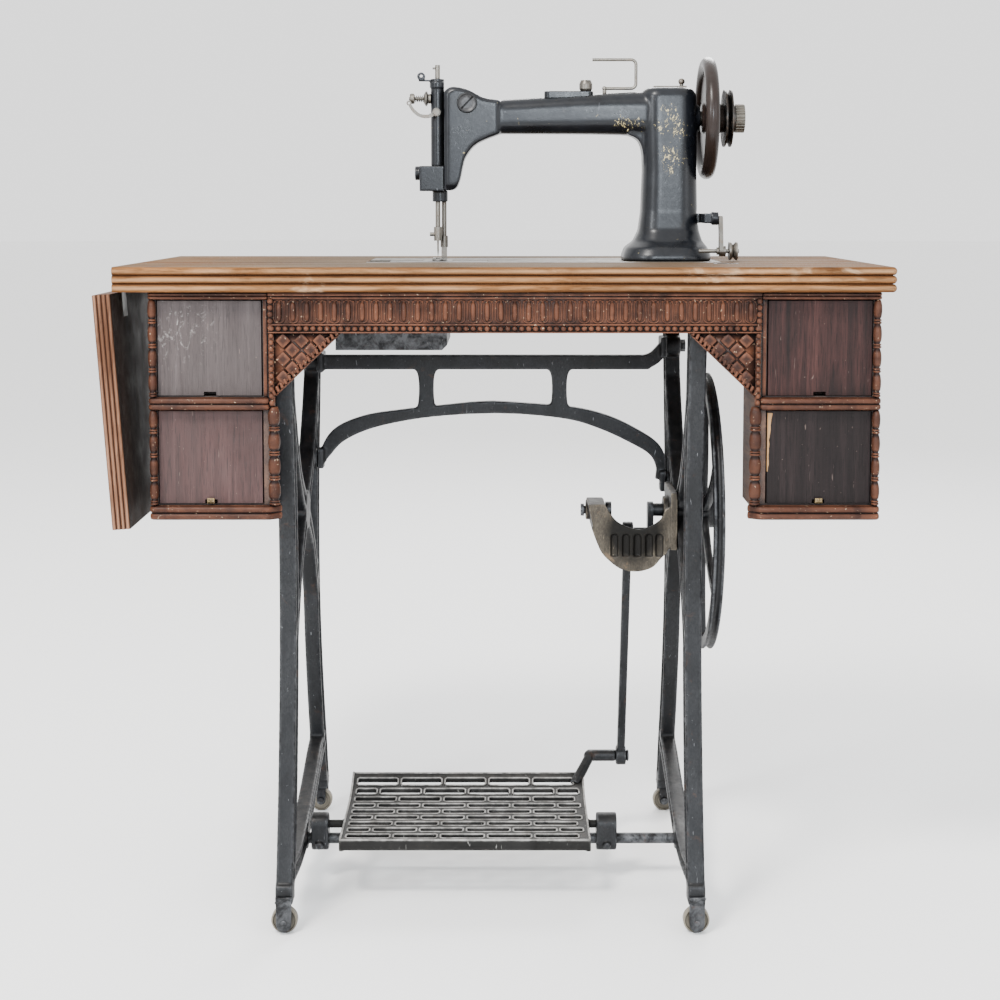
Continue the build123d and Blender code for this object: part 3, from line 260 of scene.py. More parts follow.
def chip_mask(n):
    """1 where veneer is missing, along the inner edge of the lower right drawer's front."""
    chip_edge, chip_depth = 283.0, 12.0       # place across the table, and reach behind FRONT
    chip_low, chip_high = 0.53, 0.596         # its heights, in metres as the shader has them
    across = n.maths("SUBTRACT", n.axis(0), P(chip_edge, 0, 0)[0])
    ragged = n.product(n.noise(60, (1, 1, 0.6), 4, 0.6, 0, (4, 0, 0)), 0.009)
    taper = n.product(n.maths("SUBTRACT", n.axis(2), chip_low), 0.05)
    inside = n.maths("LESS_THAN", across, n.maths("ADD", n.maths("SUBTRACT", ragged, 0.003), taper))
    above = n.maths("GREATER_THAN", n.axis(2), chip_low)
    below = n.maths("LESS_THAN", n.axis(2), chip_high)
    face = n.maths("LESS_THAN", n.axis(1), P(0, FRONT + chip_depth, 0)[1])
    return n.product(inside, face, n.product(above, below))


def drawer_material(name, dark, mid, light, dust, chip=False, dust_at=None):
    n = Nodes(name)
    colour, height = wood_layers(n, "z", dark, mid, light, 1.3)
    haze = n.noise(16, (1, 1, 0.45), 6, 0.7, 0.6, (2, 9, 5))
    cover = n.ramp(haze, (0.25, 0.3), (0.7, 1.0))
    colour = n.mix(n.product(cover, dust), colour, (0.14, 0.121, 0.118))
    if dust_at:
        scuff = n.ramp(n.noise(75, (1.3, 1, 0.8), 6, 0.75, 2.2, (1, 1, 6)), (0.56, 0.0), (0.66, 1.0))
        near = n.spot(dust_at, 62, 0.9)
        colour = n.mix(n.product(scuff, near, 0.6), colour,
                       (0.42, 0.4, 0.38))
    scratches = n.ramp(n.noise(210, (1.5, 1, 0.22), 2, 0.5, 0.6, (7, 2, 2)), (0.7, 0.0), (0.73, 0.35))
    colour = n.mix(scratches, colour, (0.22, 0.165, 0.14))
    specks = n.ramp(n.noise(420, (1, 1, 1), 1, 0.5, 0, (3, 8, 5)), (0.76, 0.0), (0.79, 0.4))
    colour = n.mix(specks, colour, (0.25, 0.19, 0.15))
    if chip:
        colour = n.mix(chip_mask(n), colour, n.ramp(n.noise(90, GRAIN["z"]), (0.3, (0.16, 0.08, 0.03)),
                                                    (0.7, (0.38, 0.22, 0.1))))
    normal = n.bump(height, 0.4, 0.0004)
    return n.done(colour, n.ramp(haze, (0.3, 0.42), (0.7, 0.72)), normal, coat=0.02, spec=0.14)


def carved_material(name="carved_walnut", bright=1.0):
    n = Nodes(name)
    dark, mid = (0.006, 0.0017, 0.0012), (0.0125 * bright, 0.003 * bright, 0.0014 * bright)
    colour, height = wood_layers(n, "x", dark, mid, (0.025 * bright, 0.0066 * bright, 0.003 * bright), 1.4)
    tone = n.ramp(n.noise(22, (1, 1, 1), 5, 0.65, 0.6, (4, 4, 4)), (0.35, 0.0), (0.68, 0.6))
    colour = n.mix(tone, colour, (0.014 * bright, 0.0047 * bright, 0.003 * bright))
    # Rubbed wear and painted highlight: the high points of the carving are lightened in patches.
    high = n.edges(0.505, 0.56)
    rub_and_highlight = n.ramp(n.noise(45, (1, 1, 1), 4, 0.6, 0.3), (0.35, 0.25), (0.6, 1.0))
    colour = n.mix(n.product(high, rub_and_highlight), colour, (0.115 * bright, 0.042 * bright, 0.021 * bright))
    # Painted shade in the hollows of the carving.
    deep = n.crevice(0.008, 0.35, 0.97)
    colour = n.mix(deep, colour, (0.0035, 0.0018, 0.002))
    specks = n.ramp(n.noise(300, (1, 1, 1), 2, 0.6, 0, (2, 3, 4)), (0.68, 0.0), (0.73, 0.7))
    colour = n.mix(specks, colour, (0.42, 0.3, 0.2))
    return n.done(colour, n.ramp(n.noise(50), (0.3, 0.38), (0.7, 0.66)),
                  n.bump(height, 0.35, 0.0004), coat=0.04, spec=0.16)


def case_material():
    n = Nodes("case_wood")
    colour, height = wood_layers(n, "y", (0.05, 0.022, 0.014), (0.13, 0.06, 0.034), (0.22, 0.11, 0.06))
    # Painted shade where surfaces stand close.
    colour = n.mix(n.crevice(0.01), colour, (0.015, 0.008, 0.006))
    return n.done(colour, 0.6, n.bump(height, 0.4, 0.0005))


def gold_flecks(n, colour):
    """Worn gold in patches on the front of the head, with a few stray flecks."""
    patches = [n.spot(centre, radius, 1.0) for centre, radius in FLECK_PATCHES]
    patch = patches[0]
    for other in patches[1:]:
        patch = n.maths("MAXIMUM", patch, other)
    grain = n.maths("ADD", n.noise(260, (1, 1, 0.7), 5, 0.7, 1.2, (5, 1, 1)), n.product(patch, 0.14))
    gold = n.ramp(grain, (0.645, 0.0), (0.665, 1.0))
    front = n.ramp(n.normal(1), (0.0, 1.0), (0.1, 0.0))
    gold = n.product(gold, n.maths("GREATER_THAN", patch, 0.05), front)
    stray = n.ramp(n.noise(120, (1, 1, 1), 4, 0.7, 1.0, (9, 9, 9)), (0.7, 0.0), (0.72, 0.5))
    return n.mix(n.maths("MAXIMUM", gold, stray), colour, (0.5, 0.41, 0.2))


def iron_material(name, base, worn, rust, wear, dust, coat=0.0, flecks=False, spec=0.22, deep=0.008,
                  scour_and_sheen=0.0, shade=None):
    """Painted casting: worn edges and chips show one colour, rust another, and dust lies on top; painted
    shade darkens its hollows and painted sheen lightens its front faces.
    """
    n = Nodes(name)
    broad = n.noise(18, (1, 1, 1), 6, 0.65, 0.5)
    fine = n.noise(230, (1, 1, 1), 4, 0.65, 0.0, (1, 5, 2))
    colour = n.mix(n.ramp(broad, (0.35, 0.0), (0.7, 1.0)), base, tuple(c * 2.2 + 0.0015 for c in base))
    edge = n.edges(0.51, 0.585)
    rubbed = n.ramp(n.noise(70, (1, 1, 1), 5, 0.7, 0.4, (8, 2, 1)), (0.4, 0.0), (0.62, 1.0))
    amount = n.product(edge, rubbed, wear)
    colour = n.mix(amount, colour, worn)
    # Scoured wear and painted sheen: faces turned to the front or back are lightened in a fine scoured
    # pattern.
    facing = n.ramp(n.maths("ABSOLUTE", n.normal(1)), (0.8, 0.0), (0.97, 1.0))
    scour_sheen_pattern = n.ramp(n.noise(520, (1, 1, 0.5), 5, 0.8, 0.3, (6, 6, 1)), (0.3, 0.1), (0.8, 1.0))
    uneven = n.ramp(n.noise(26, (1, 1, 0.4), 4, 0.6, 0.3), (0.3, 0.2), (0.65, 1.0))
    scour_sheen_pattern = n.product(scour_sheen_pattern, uneven)
    colour = n.mix(n.product(facing, scour_sheen_pattern, scour_and_sheen), colour, worn)
    nicks = n.ramp(n.noise(150, (1.6, 1, 0.3), 2, 0.5, 1.2, (9, 1, 3)), (0.72, 0.0), (0.74, 0.6))
    colour = n.mix(n.product(nicks, facing), colour, worn)
    chips = n.ramp(n.noise(230, (1, 1, 1), 3, 0.6, 0.5, (3, 3, 9)), (0.69, 0.0), (0.74, 1.0))
    colour = n.mix(n.product(chips, 0.35), colour, worn)
    rusty = n.ramp(n.noise(34, (1, 1, 1), 6, 0.75, 0.9, (5, 7, 3)), (0.6, 0.0), (0.72, 1.0))
    colour = n.mix(n.product(rusty, 0.55), colour, rust)
    up = n.ramp(n.normal(2), (0.3, 0.0), (0.95, 1.0))
    powder = n.ramp(n.noise(90, (1, 1, 1), 5, 0.7, 0.0, (2, 6, 6)), (0.4, 0.1), (0.65, 1.0))
    colour = n.mix(n.product(up, powder, dust), colour,
                   (0.27, 0.25, 0.225))
    # Painted shade: hollows where other surfaces stand close are darkened nearly to black.
    colour = n.mix(n.product(n.crevice(deep), 0.85), colour, (0.003, 0.003, 0.003))
    # Painted shade: a ball of near black, as inside the cup.
    if shade:
        colour = n.mix(n.product(n.spot(*shade), 0.93), colour, (0.0035, 0.0033, 0.003))
    if flecks:
        colour = gold_flecks(n, colour)
    normal = n.bump(fine, 0.22, 0.0006)
    normal = n.bump(chips, 0.3, 0.0003, normal)
    rough = n.ramp(n.maths("ADD", n.product(broad, 0.6), n.product(fine, 0.4)),
                   (0.35, 0.25 if coat else 0.32), (0.65, 0.4 if coat else 0.55))
    return n.done(colour, rough, normal, metal=n.product(amount, 0.6), coat=coat, spec=spec)


def steel_material(name, tone, rust=0.35, rough=(0.3, 0.55)):
    n = Nodes(name)
    broad = n.noise(60, (1, 1, 1), 5, 0.6, 0.4)
    brushed = n.noise(400, (1, 1, 0.05), 3, 0.6)
    colour = n.ramp(broad, (0.3, tuple(c * 0.6 for c in tone)), (0.7, tone))
    stain = n.ramp(n.noise(110, (1, 1, 1), 5, 0.75, 0.7, (4, 2, 8)), (0.5, 0.0), (0.68, 1.0))
    colour = n.mix(n.product(stain, rust), colour, (0.13, 0.075, 0.04))
    # Painted shade where surfaces stand close.
    colour = n.mix(n.product(n.crevice(0.003), 0.8), colour, (0.02, 0.017, 0.014))
    metal = n.ramp(stain, (0.0, 1.0), (1.0, 0.5))
    return n.done(colour, n.ramp(broad, (0.3, rough[0]), (0.7, rough[1])),
                  n.bump(brushed, 0.15, 0.0003), metal=metal)


def screw_material(centre, radius, lean):
    """Near-black rim, rubbed face and a slot painted as a dark line of shade across it, turned by lean
    (radians).
    """
    n = Nodes("slotted_screw")
    face = n.spot(centre, radius * 0.84, 0.06)
    rubbed = n.ramp(n.noise(170, (1, 1, 1), 5, 0.7, 0.6), (0.3, (0.022, 0.022, 0.023)),
                    (0.7, (0.075, 0.075, 0.077)))
    colour = n.mix(face, (0.004, 0.004, 0.0045), rubbed)
    right = n.product(n.maths("SUBTRACT", n.axis(0), P(*centre)[0]), math.sin(lean))
    rise = n.product(n.maths("SUBTRACT", n.axis(2), P(*centre)[2]), math.cos(lean))
    half_slot = 0.0012                        # metres
    # Painted shade: the slot is drawn as a dark line, standing for the shade inside it.
    slot = n.maths("LESS_THAN", n.maths("ABSOLUTE", n.maths("SUBTRACT", right, rise)), half_slot)
    colour = n.mix(n.product(slot, face), colour, (0.0015, 0.0015, 0.0015))
    return n.done(colour, 0.42, metal=n.product(face, 0.5), spec=0.3)


STAND = iron_material("stand_iron_paint", (0.0026, 0.0028, 0.0034), (0.2, 0.207, 0.22),
                      (0.06, 0.03, 0.017), wear=0.5, dust=0.06, spec=0.18, scour_and_sheen=0.14)
TREAD = iron_material("treadle_iron", (0.008, 0.0078, 0.0075), (0.3, 0.295, 0.28),
                      (0.05, 0.032, 0.022), wear=0.5, dust=0.08, spec=0.08, deep=0.02)
TREAD_RIM = iron_material("treadle_rims", (0.075, 0.072, 0.068), (0.38, 0.37, 0.355),
                          (0.1, 0.065, 0.04), wear=1.0, dust=0.3)
CASTER = iron_material("caster_iron", (0.085, 0.075, 0.058), (0.3, 0.27, 0.21),
                       (0.16, 0.1, 0.05), wear=1.0, dust=0.2)
CUP_SHADE = ((146, -45, 434), 42, 0.35)      # centre, radius and softness of the painted shade inside the cup
CUP = iron_material("hanger_iron", (0.012, 0.0105, 0.009), (0.32, 0.27, 0.2),
                    (0.2, 0.13, 0.075), wear=1.2, dust=0.3, spec=0.1, scour_and_sheen=0.4, shade=CUP_SHADE)
HEAD = iron_material("head_japan", (0.0018, 0.0024, 0.0038), (0.1, 0.107, 0.122),
                     (0.02, 0.016, 0.013), wear=0.7, dust=0.03, coat=0.14, flecks=True, spec=0.24)
RIM_BROWN = iron_material("hand_wheel_rim", (0.008, 0.0048, 0.0038), (0.1, 0.066, 0.05),
                          (0.03, 0.013, 0.008), wear=0.6, dust=0.04, coat=0.2, spec=0.16)
BED = iron_material("bed_iron", (0.022, 0.019, 0.015), (0.15, 0.13, 0.1),
                    (0.07, 0.045, 0.025), wear=0.8, dust=0.25, spec=0.05)
STEEL = steel_material("aged_nickel", (0.17, 0.158, 0.14), 0.5)
BRIGHT = steel_material("worn_steel", (0.22, 0.205, 0.18), 0.4)
DARK_STEEL = steel_material("dark_steel", (0.05, 0.047, 0.044), 0.45)
SCREW_AT, SCREW_R = (-56.4, HEAD_Y - 22.4, 952.2), 12.4
SCREW = screw_material(SCREW_AT, SCREW_R, 0.8)
KNURL = steel_material("knurled_nickel", (0.15, 0.14, 0.12), 0.35, (0.35, 0.6))
BRASS = steel_material("old_brass", (0.24, 0.175, 0.09), 0.5, (0.35, 0.6))
TABLE = table_material()
LEAF = leaf_material()
CARVED = carved_material()
RAIL_WOOD = carved_material("rail_walnut", 1.1)
CASE = case_material()
DRAWERS = {
    "upper_left_drawer": drawer_material("drawer_grey", (0.02, 0.0138, 0.0135), (0.044, 0.033, 0.0325),
                                         (0.074, 0.059, 0.058), 0.36, dust_at=(-380, -192, 700)),
    "lower_left_drawer": drawer_material("drawer_red", (0.02, 0.0068, 0.006), (0.045, 0.0172, 0.0158),
                                         (0.074, 0.035, 0.0325), 0.22),
    "upper_right_drawer": drawer_material("drawer_dark", (0.004, 0.0013, 0.0011), (0.021, 0.0068, 0.0058),
                                          (0.052, 0.019, 0.016), 0.05),
    "lower_right_drawer": drawer_material("drawer_chipped", (0.003, 0.0015, 0.0015), (0.0078, 0.0042, 0.0042),
                                          (0.018, 0.011, 0.0108), 0.04, chip=True)}


def paint(name, mat):
    o = NODES[name]
    o.data.materials.clear()
    o.data.materials.append(mat)


def cast(name, mat, voxel, rounds):
    """Rounds every edge of a casting as sand moulding leaves it."""
    paint(name, mat)
    o = NODES[name]
    m = o.modifiers.new("skin", "REMESH")
    m.mode, m.voxel_size, m.use_smooth_shade = "VOXEL", voxel / 1000, True
    s = o.modifiers.new("ease", "SMOOTH")
    s.factor, s.iterations = 0.5, rounds


def ease(name, mat, width):
    """Breaks the sharp edges of a machined or sawn piece."""
    paint(name, mat)
    o = NODES[name]
    b = o.modifiers.new("arris", "BEVEL")
    b.width, b.segments, b.limit_method, b.angle_limit = width / 1000, 2, "ANGLE", 0.6
    b.use_clamp_overlap = True


for node_name, voxel, rounds in (("left_side_frame", 1.9, 12), ("right_side_frame", 1.9, 12),
                                 ("cross_brace", 1.6, 6), ("drive_wheel", 1.6, 4), ("pitman", 1.5, 5),
                                 ("treadle_bearings", 1.4, 6)):
    cast(node_name, STAND, voxel, rounds)
cast("treadle_plate", TREAD, 1.25, 3)
cast("crank_hanger", CUP, 1.2, 5)
cast("head_casting", HEAD, 1.3, 22)
cast("face_block", HEAD, 0.9, 4)
cast("needle_bar_guide", HEAD, 0.7, 2)
cast("arm_top_plate", HEAD, 0.7, 4)
cast("winder_bracket", HEAD, 0.8, 4)
for node_name in ("crank_shaft", "crank_outer_web", "wheel_nut", "treadle_bar", "frame_bolts",
                  "caster_pins", "drip_pan"):
    ease(node_name, STAND, 0.6)
for node_name in ("front_left_caster", "front_right_caster", "rear_left_caster", "rear_right_caster"):
    ease(node_name, CASTER, 0.6)
ease("hand_wheel", RIM_BROWN, 0.6)
ease("bed_plate", BED, 0.4)
cast("treadle_arm", STAND, 1.2, 4)
ease("slide_plate", DARK_STEEL, 0.25)
for node_name in ("needle_plate", "head_caps", "tension_discs", "tension_nut",
                  "take_up_lever", "head_studs", "presser_bar", "presser_foot", "winder_arm"):
    ease(node_name, STEEL, 0.25)
for node_name in ("needle_bar", "spool_wire", "tension_spring", "winder_pulley"):
    paint(node_name, BRIGHT)
for node_name in ("belt_plate", "main_shaft", "belt_pulley", "under_bed_works", "hinge_plates",
                  "hinge_straps"):
    ease(node_name, DARK_STEEL, 0.3)
ease("stop_nut", KNURL, 0.4)
ease("table_top", TABLE, 0.5)
ease("drawer_cases", CASE, 0.5)
for node_name, mat in DRAWERS.items():
    ease(node_name, mat, 0.7)


# ------------------------------------------------------------------ carved pieces
def piece(name, bm, mat, body, slot, *replaced):
    """A mesh that rides on body, in place of the CAD nodes that are named."""
    mesh = bpy.data.meshes.new(name)
    bmesh.ops.recalc_face_normals(bm, faces=bm.faces)
    bm.to_mesh(mesh)
    bm.free()
    mesh.materials.append(mat)
    for f in mesh.polygons:
        f.use_smooth = True
    o = bpy.data.objects.new(name, mesh)
    bpy.context.scene.collection.objects.link(o)
    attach(o, body)
    if replaced:
        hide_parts(*replaced)
    return o


def join_rings(bm, rings):
    """Faces from each ring of points to the next."""
    for a, b in zip(rings[:-1], rings[1:]):
        for k in range(len(a)):
            m = (k + 1) % len(a)
            bm.faces.new((a[k], a[m], b[m], b[k]))


def fill_rings(bm, rings):
    join_rings(bm, rings)
    bm.faces.new(rings[0])
    bm.faces.new(rings[-1])


def add_box(bm, x0, x1, y0, y1, z0, z1, bevel):
    corners = [bm.verts.new(P(x, y, z)) for z in (z0, z1) for y in (y0, y1) for x in (x0, x1)]
    faces = [bm.faces.new([corners[i] for i in f]) for f in
             ((0, 2, 3, 1), (4, 5, 7, 6), (0, 1, 5, 4), (2, 6, 7, 3), (0, 4, 6, 2), (1, 3, 7, 5))]
    edges = {e for f in faces for e in f.edges}
    bmesh.ops.bevel(bm, geom=list(edges), offset=bevel / 1000, segments=2, affect="EDGES", profile=0.6)


def add_lathe(bm, centre, profile, axis="z", segments=20, squash=1.0):
    """Turn (height, radius) pairs about a line through centre, along z or y."""
    rings = []
    for h, r in profile:
        ring = []
        for i in range(segments):
            a = 2 * math.pi * i / segments
            u, v = r * math.cos(a), r * math.sin(a) * squash
            local = {"z": (u, v, h), "y": (u, h, v)}[axis]
            ring.append(bm.verts.new(P(*(c + d for c, d in zip(centre, local)))))
        rings.append(ring)
    fill_rings(bm, rings)


def add_bead(bm, x, y, z, rx, ry, rz, segments=10, rings=6):
    profile = []
    for k in range(rings + 1):
        t = math.pi * k / rings
        profile.append((-rz * math.cos(t), max(rx * math.sin(t), 0.02)))
    add_lathe(bm, (x, y, z), profile, "z", segments, ry / rx)


def add_tube(bm, points, r, segments=8, closed=False, flat=1.0, out=(0, 1, 0)):
    """Rounded ridge along points in the plane square to out."""
    out = Vector(out)
    rings = []
    count = len(points)
    for i, p in enumerate(points):
        a = Vector(points[(i - 1) % count] if closed or i else points[0])
        b = Vector(points[(i + 1) % count] if closed or i < count - 1 else points[-1])
        t = (b - a).normalized()
        side = t.cross(out).normalized()
        ring = []
        for k in range(segments):
            ang = 2 * math.pi * k / segments
            q = Vector(p) + side * r * math.cos(ang) + out * r * flat * math.sin(ang)
            ring.append(bm.verts.new(P(*q)))
        rings.append(ring)
    if closed:
        join_rings(bm, rings + rings[:1])
    else:
        fill_rings(bm, rings)


def wobble(amount):
    return rng.uniform(-amount, amount)


def build_apron():
    bm = bmesh.new()
    add_box(bm, APRON_L, APRON_R, FRONT + 1.5, FRONT + 12, LOW, HIGH - 0.3, 0.8)
    add_box(bm, APRON_L, APRON_R, FRONT - 2.4, FRONT + 4, 727.6, 731.4, 1.0)
    add_box(bm, APRON_L, APRON_R, FRONT - 0.5, FRONT + 4, 723.8, 726.6, 0.8)
    add_box(bm, APRON_L, APRON_R, FRONT - 1.0, FRONT + 4, LOW + 8.4, LOW + 10.4, 0.7)
    add_box(bm, APRON_L, APRON_R, FRONT - 2.0, FRONT + 4, LOW + 0.2, LOW + 1.8, 0.6)
    pitch = 15.4
    count = int((APRON_R - APRON_L - 8) / pitch)
    mid_z, half_h = (LOW + 10.6 + 723.6) / 2, (723.6 - LOW - 10.6) / 2
    for i in range(count):
        x = (APRON_L + APRON_R) / 2 + (i - (count - 1) / 2) * pitch
        body = [(-half_h + 2.2, 0.3), (-half_h + 3.2, 1.7), (-half_h + 5.5, 2.7), (-3, 3.1), (3, 3.1),
                (half_h - 5.5, 2.7), (half_h - 3.2, 1.7), (half_h - 2.2, 0.3)]
        add_lathe(bm, (x + wobble(0.15), FRONT + 1.4, mid_z), body, "z", 14, 1.05)
        arch = []
        w, r = pitch / 2 - 1.7, 5.2
        for k in range(28):
            a = 2 * math.pi * k / 28
            cz = mid_z + (half_h - r - 0.6) * (1 if math.sin(a) >= 0 else -1)
            arch.append((x + w * math.cos(a), FRONT + 1.4, cz + r * math.sin(a)))
        add_tube(bm, arch, 0.95, 7, True, 1.3)
    beads = int((APRON_R - APRON_L) / 7.7)
    for i in range(beads):
        x = APRON_L + 3.9 + i * (APRON_R - APRON_L - 7.8) / (beads - 1)
        add_bead(bm, x, FRONT + 0.4, LOW + 5.1 + wobble(0.12), 3.5, 3.4, 3.1 + wobble(0.15))
    small = int((APRON_R - APRON_L) / 5.1)
    for i in range(small):
        x = APRON_L + 2.6 + i * (APRON_R - APRON_L - 5.2) / (small - 1)
        add_bead(bm, x, FRONT + 1.2, 721.2, 1.9, 1.9, 1.7, 8, 4)
    return piece("carved_apron", bm, CARVED, "frame", "carved_wood", "apron")


BRACKET_WIDE, BRACKET_TALL = 74.0, 71.0
BRACKET_TOP = LOW - 0.3


def add_lozenge(bm, x, z, way, half):
    """A raised four-sided boss with its middle at x, z."""
    levels = ((0.98, 3.2), (0.95, 1.4), (0.86, 0.3), (0.74, 0.0), (0.3, -0.2))
    corners = ((half, 0), (0, half), (-half, 0), (0, -half))
    rings = [[bm.verts.new(P(x + way * p * size, FRONT + depth, z + q * size)) for p, q in corners]
             for size, depth in levels]
    join_rings(bm, rings)
    bm.faces.new(rings[-1])


def add_bracket(bm, x0, way):
    """Three-cornered board under the apron's end, covered in lozenges, with ribs along its slanting edge."""
    wide, tall, top = BRACKET_WIDE, BRACKET_TALL, BRACKET_TOP
    front = [P(x0, FRONT + 3, top), P(x0 + way * wide, FRONT + 3, top), P(x0, FRONT + 3, top - tall)]
    back = [v + Vector((0, 0.009, 0)) for v in front]
    f = [bm.verts.new(v) for v in front]
    b = [bm.verts.new(v) for v in back]
    bm.faces.new(f)
    bm.faces.new(b)
    join_rings(bm, (f, b))
    step = 10.3
    for i in range(-8, 9):
        for j in range(-8, 9):
            u, v = 10 + (i + j) * step, -(8 + (i - j) * step)
            if u < 5 or v > -5 or u / wide - v / tall > 0.84:
                continue
            add_lozenge(bm, x0 + way * u, top + v, way, step * 0.9)
    along = Vector((way * wide, 0, tall)).normalized()
    inward = Vector((-way * tall, 0, wide)).normalized()
    ribs = 17
    for i in range(ribs):
        t = (i + 0.5) / ribs
        mid = Vector((x0 + way * wide * t, FRONT + 1.2, top - tall + tall * t)) + inward * 4.2
        pts = [tuple(mid + inward * s * 3.0 + along * s * 1.1) for s in (-1, -0.5, 0, 0.5, 1)]
        add_tube(bm, pts, 2.1, 8, False, 1.15)
    x_min, x_max = sorted((x0, x0 + way * wide))
    for off in (0.6, 8.2):
        a = Vector((x0 + way * 1.5, FRONT + 1.5, top - tall + 1.5)) + inward * off
        b = Vector((x0 + way * (wide - 2), FRONT + 1.5, top - 2)) + inward * off
        pts = [a.lerp(b, t / 6) for t in range(7)]
        add_tube(bm, [(min(max(p.x, x_min), x_max), p.y, min(p.z, top - 1)) for p in pts], 1.0, 6)


def build_brackets():
    bm = bmesh.new()
    for x0, way in ((APRON_L + 6.5, 1), (APRON_R - 6.5, -1)):
        add_bracket(bm, x0, way)
    for x in (APRON_L + 3.2, APRON_R - 3.2):
        add_box(bm, x - 3, x + 3, FRONT + 1.6, FRONT + 10, 604.5, LOW - 0.4, 0.5)
        for i in range(11):
            add_bead(bm, x, FRONT + 1.0, 608.3 + i * BEAD_PITCH, 3.0, 3.0, 3.3, 12, 8)
    return piece("carved_brackets", bm, CARVED, "frame", "carved_wood", "corner_brackets")


def build_bead_columns():
    """Upright bead strips that carry on beside the apron, over its ends."""
    bm = bmesh.new()
    for x in (APRON_L + 2.6, APRON_R - 2.6):
        for i in range(5):
            add_bead(bm, x, FRONT - 0.2, 692 + i * BEAD_PITCH, 3.2, 2.6, 3.4, 12, 8)
    return piece("apron_end_beads", bm, CARVED, "frame", "carved_wood")


def build_rails():
    bm = bmesh.new()
    for xc, way in COLUMNS:
        for z0, z1 in (TOP_RAIL, MIDDLE_RAIL, LOW_RAIL):
            h = z1 - z0
            profile = [(9.0, 0.0), (0.5, 0.0)]
            for base, size in ((0.04, 0.44), (0.52, 0.44)):
                for k in range(9):
                    a = -math.pi / 2 + math.pi * k / 8
                    profile.append((-0.8 - math.cos(a) * h * size * 0.42, (base + size / 2) * h
                                    + math.sin(a) * h * size / 2))
            profile += [(0.5, h), (9.0, h)]
            stations = [(-66, 8), (-66, 3), (-64.5, 1.2), (-61, 0.2), (-56, 0), (0, 0), (56, 0)]
            if (z0, z1) == LOW_RAIL:          # cut off slantwise at its inner end
                stations += [(64, 0), (66.2, 0.6), (70, 3.4), (74.5, 7), (77, 8.6), (78, 9.5)]
            else:
                stations += [(61, 0.2), (64.5, 1.2), (66, 3), (66, 8)]
            rings = []
            for sx, sy in stations:
                ring = []
                for d, z in profile:
                    x = sx + (math.copysign(1, sx) * max(-d, 0) * 0.35 if abs(sx) > 60 else 0)
                    y = min(FRONT + sy + d * (1 - sy / 12), FRONT + 9.8)
                    ring.append(bm.verts.new(P(xc + way * x, y, z0 + z)))
                rings.append(ring)
            fill_rings(bm, rings)
    return piece("moulded_rails", bm, RAIL_WOOD, "frame", "carved_wood", "drawer_rails")


def build_posts():
    """Turned posts of eggs and collars: slim at the outer corners, fat at the lower inner one."""
    bm = bmesh.new()
    gap = 0.3                             # between a post and a rail
    inner_top = 603.6                     # where the inner post meets the bead strip
    for xc, way in COLUMNS:
        outer, inner = xc - way * 62.8, xc + way * 71.7
        low, middle = LOW_RAIL[1] + gap, MIDDLE_RAIL[0] - gap
        for x, z0, z1, fat in ((outer, MIDDLE_RAIL[1] + gap, TOP_RAIL[0] - gap, 1.0),
                               (outer, low, middle, 1.0), (inner, low, inner_top, 1.42)):
            count = round((z1 - z0) / 27.5)
            pitch = (z1 - z0) / count
            profile = []
            for i in range(count):
                base = i * pitch
                profile += [(base, 3.0), (base + 1.0, 4.2), (base + 1.9, 4.5), (base + 2.8, 4.1),
                            (base + 3.3, 3.0), (base + 3.8, 4.0), (base + 4.6, 4.4), (base + 5.4, 3.9),
                            (base + 6.0, 2.8)]
                body = pitch - 6.6
                for k in range(1, 10):
                    t = k / 10
                    profile.append((base + 6.0 + body * t, 2.9 + 1.9 * math.sin(math.pi * t) ** 0.55))
            profile.append((z1 - z0, 3.0))
            profile = [(h, r * fat) for h, r in profile]
            deep = 1.25 if fat == 1 else 1.0
            add_lathe(bm, (x, FRONT + 3.2 + 3 * (fat - 1), z0), profile, "z", 20, deep)
    for xc, way in COLUMNS:
        inner = xc + way * 60.5
        add_box(bm, min(inner, inner + way * 4), max(inner, inner + way * 4), FRONT + 6, FRONT + 9.5,
                614.5, 723, 0.5)
    return piece("egg_posts", bm, CARVED, "frame", "carved_wood", "carved_posts")


def build_leaf():
    """Hanging leaf with reeded long edges, its foot leaning in towards the drawers."""
    bm = bmesh.new()
    thick, long = 20.5, 262.0
    x_top, z_top = -445.5, 730.0
    outline = []
    reeds = 4
    r = thick / reeds / 2
    for side in (-1, 1):
        pts = []
        for i in range(reeds):
            cx = -thick + r + 2 * r * i
            for k in range(7):
                a = math.pi - math.pi * (k + 0.35) / 6.7
                pts.append((cx + r * math.cos(a), side * (210.2 + r * 1.05 * math.sin(a))))
        outline += pts if side < 0 else list(reversed(pts))
    lean = Matrix.Rotation(math.radians(-4.0), 4, "Y")
    rings = []
    levels = [(0, 0.97), (-0.8, 1.0)]
    levels += [(-long * k / 14, 1.0) for k in range(1, 14)]
    levels += [(-long + 1.2, 1.0), (-long, 0.985)]
    for z, grow in levels:
        ring = []
        for x, y in outline:
            p = lean @ Vector(((x + thick / 2) * grow - thick / 2, y * (1 - (1 - grow) * 0.04), z))
            ring.append(bm.verts.new(P(p.x + x_top, p.y, p.z + z_top)))
        rings.append(ring)
    fill_rings(bm, rings)
    o = piece("reeded_leaf", bm, LEAF, "leaf", "table_wood", "drop_leaf")
    e = o.modifiers.new("split", "EDGE_SPLIT")
    e.split_angle = 0.9
    return o


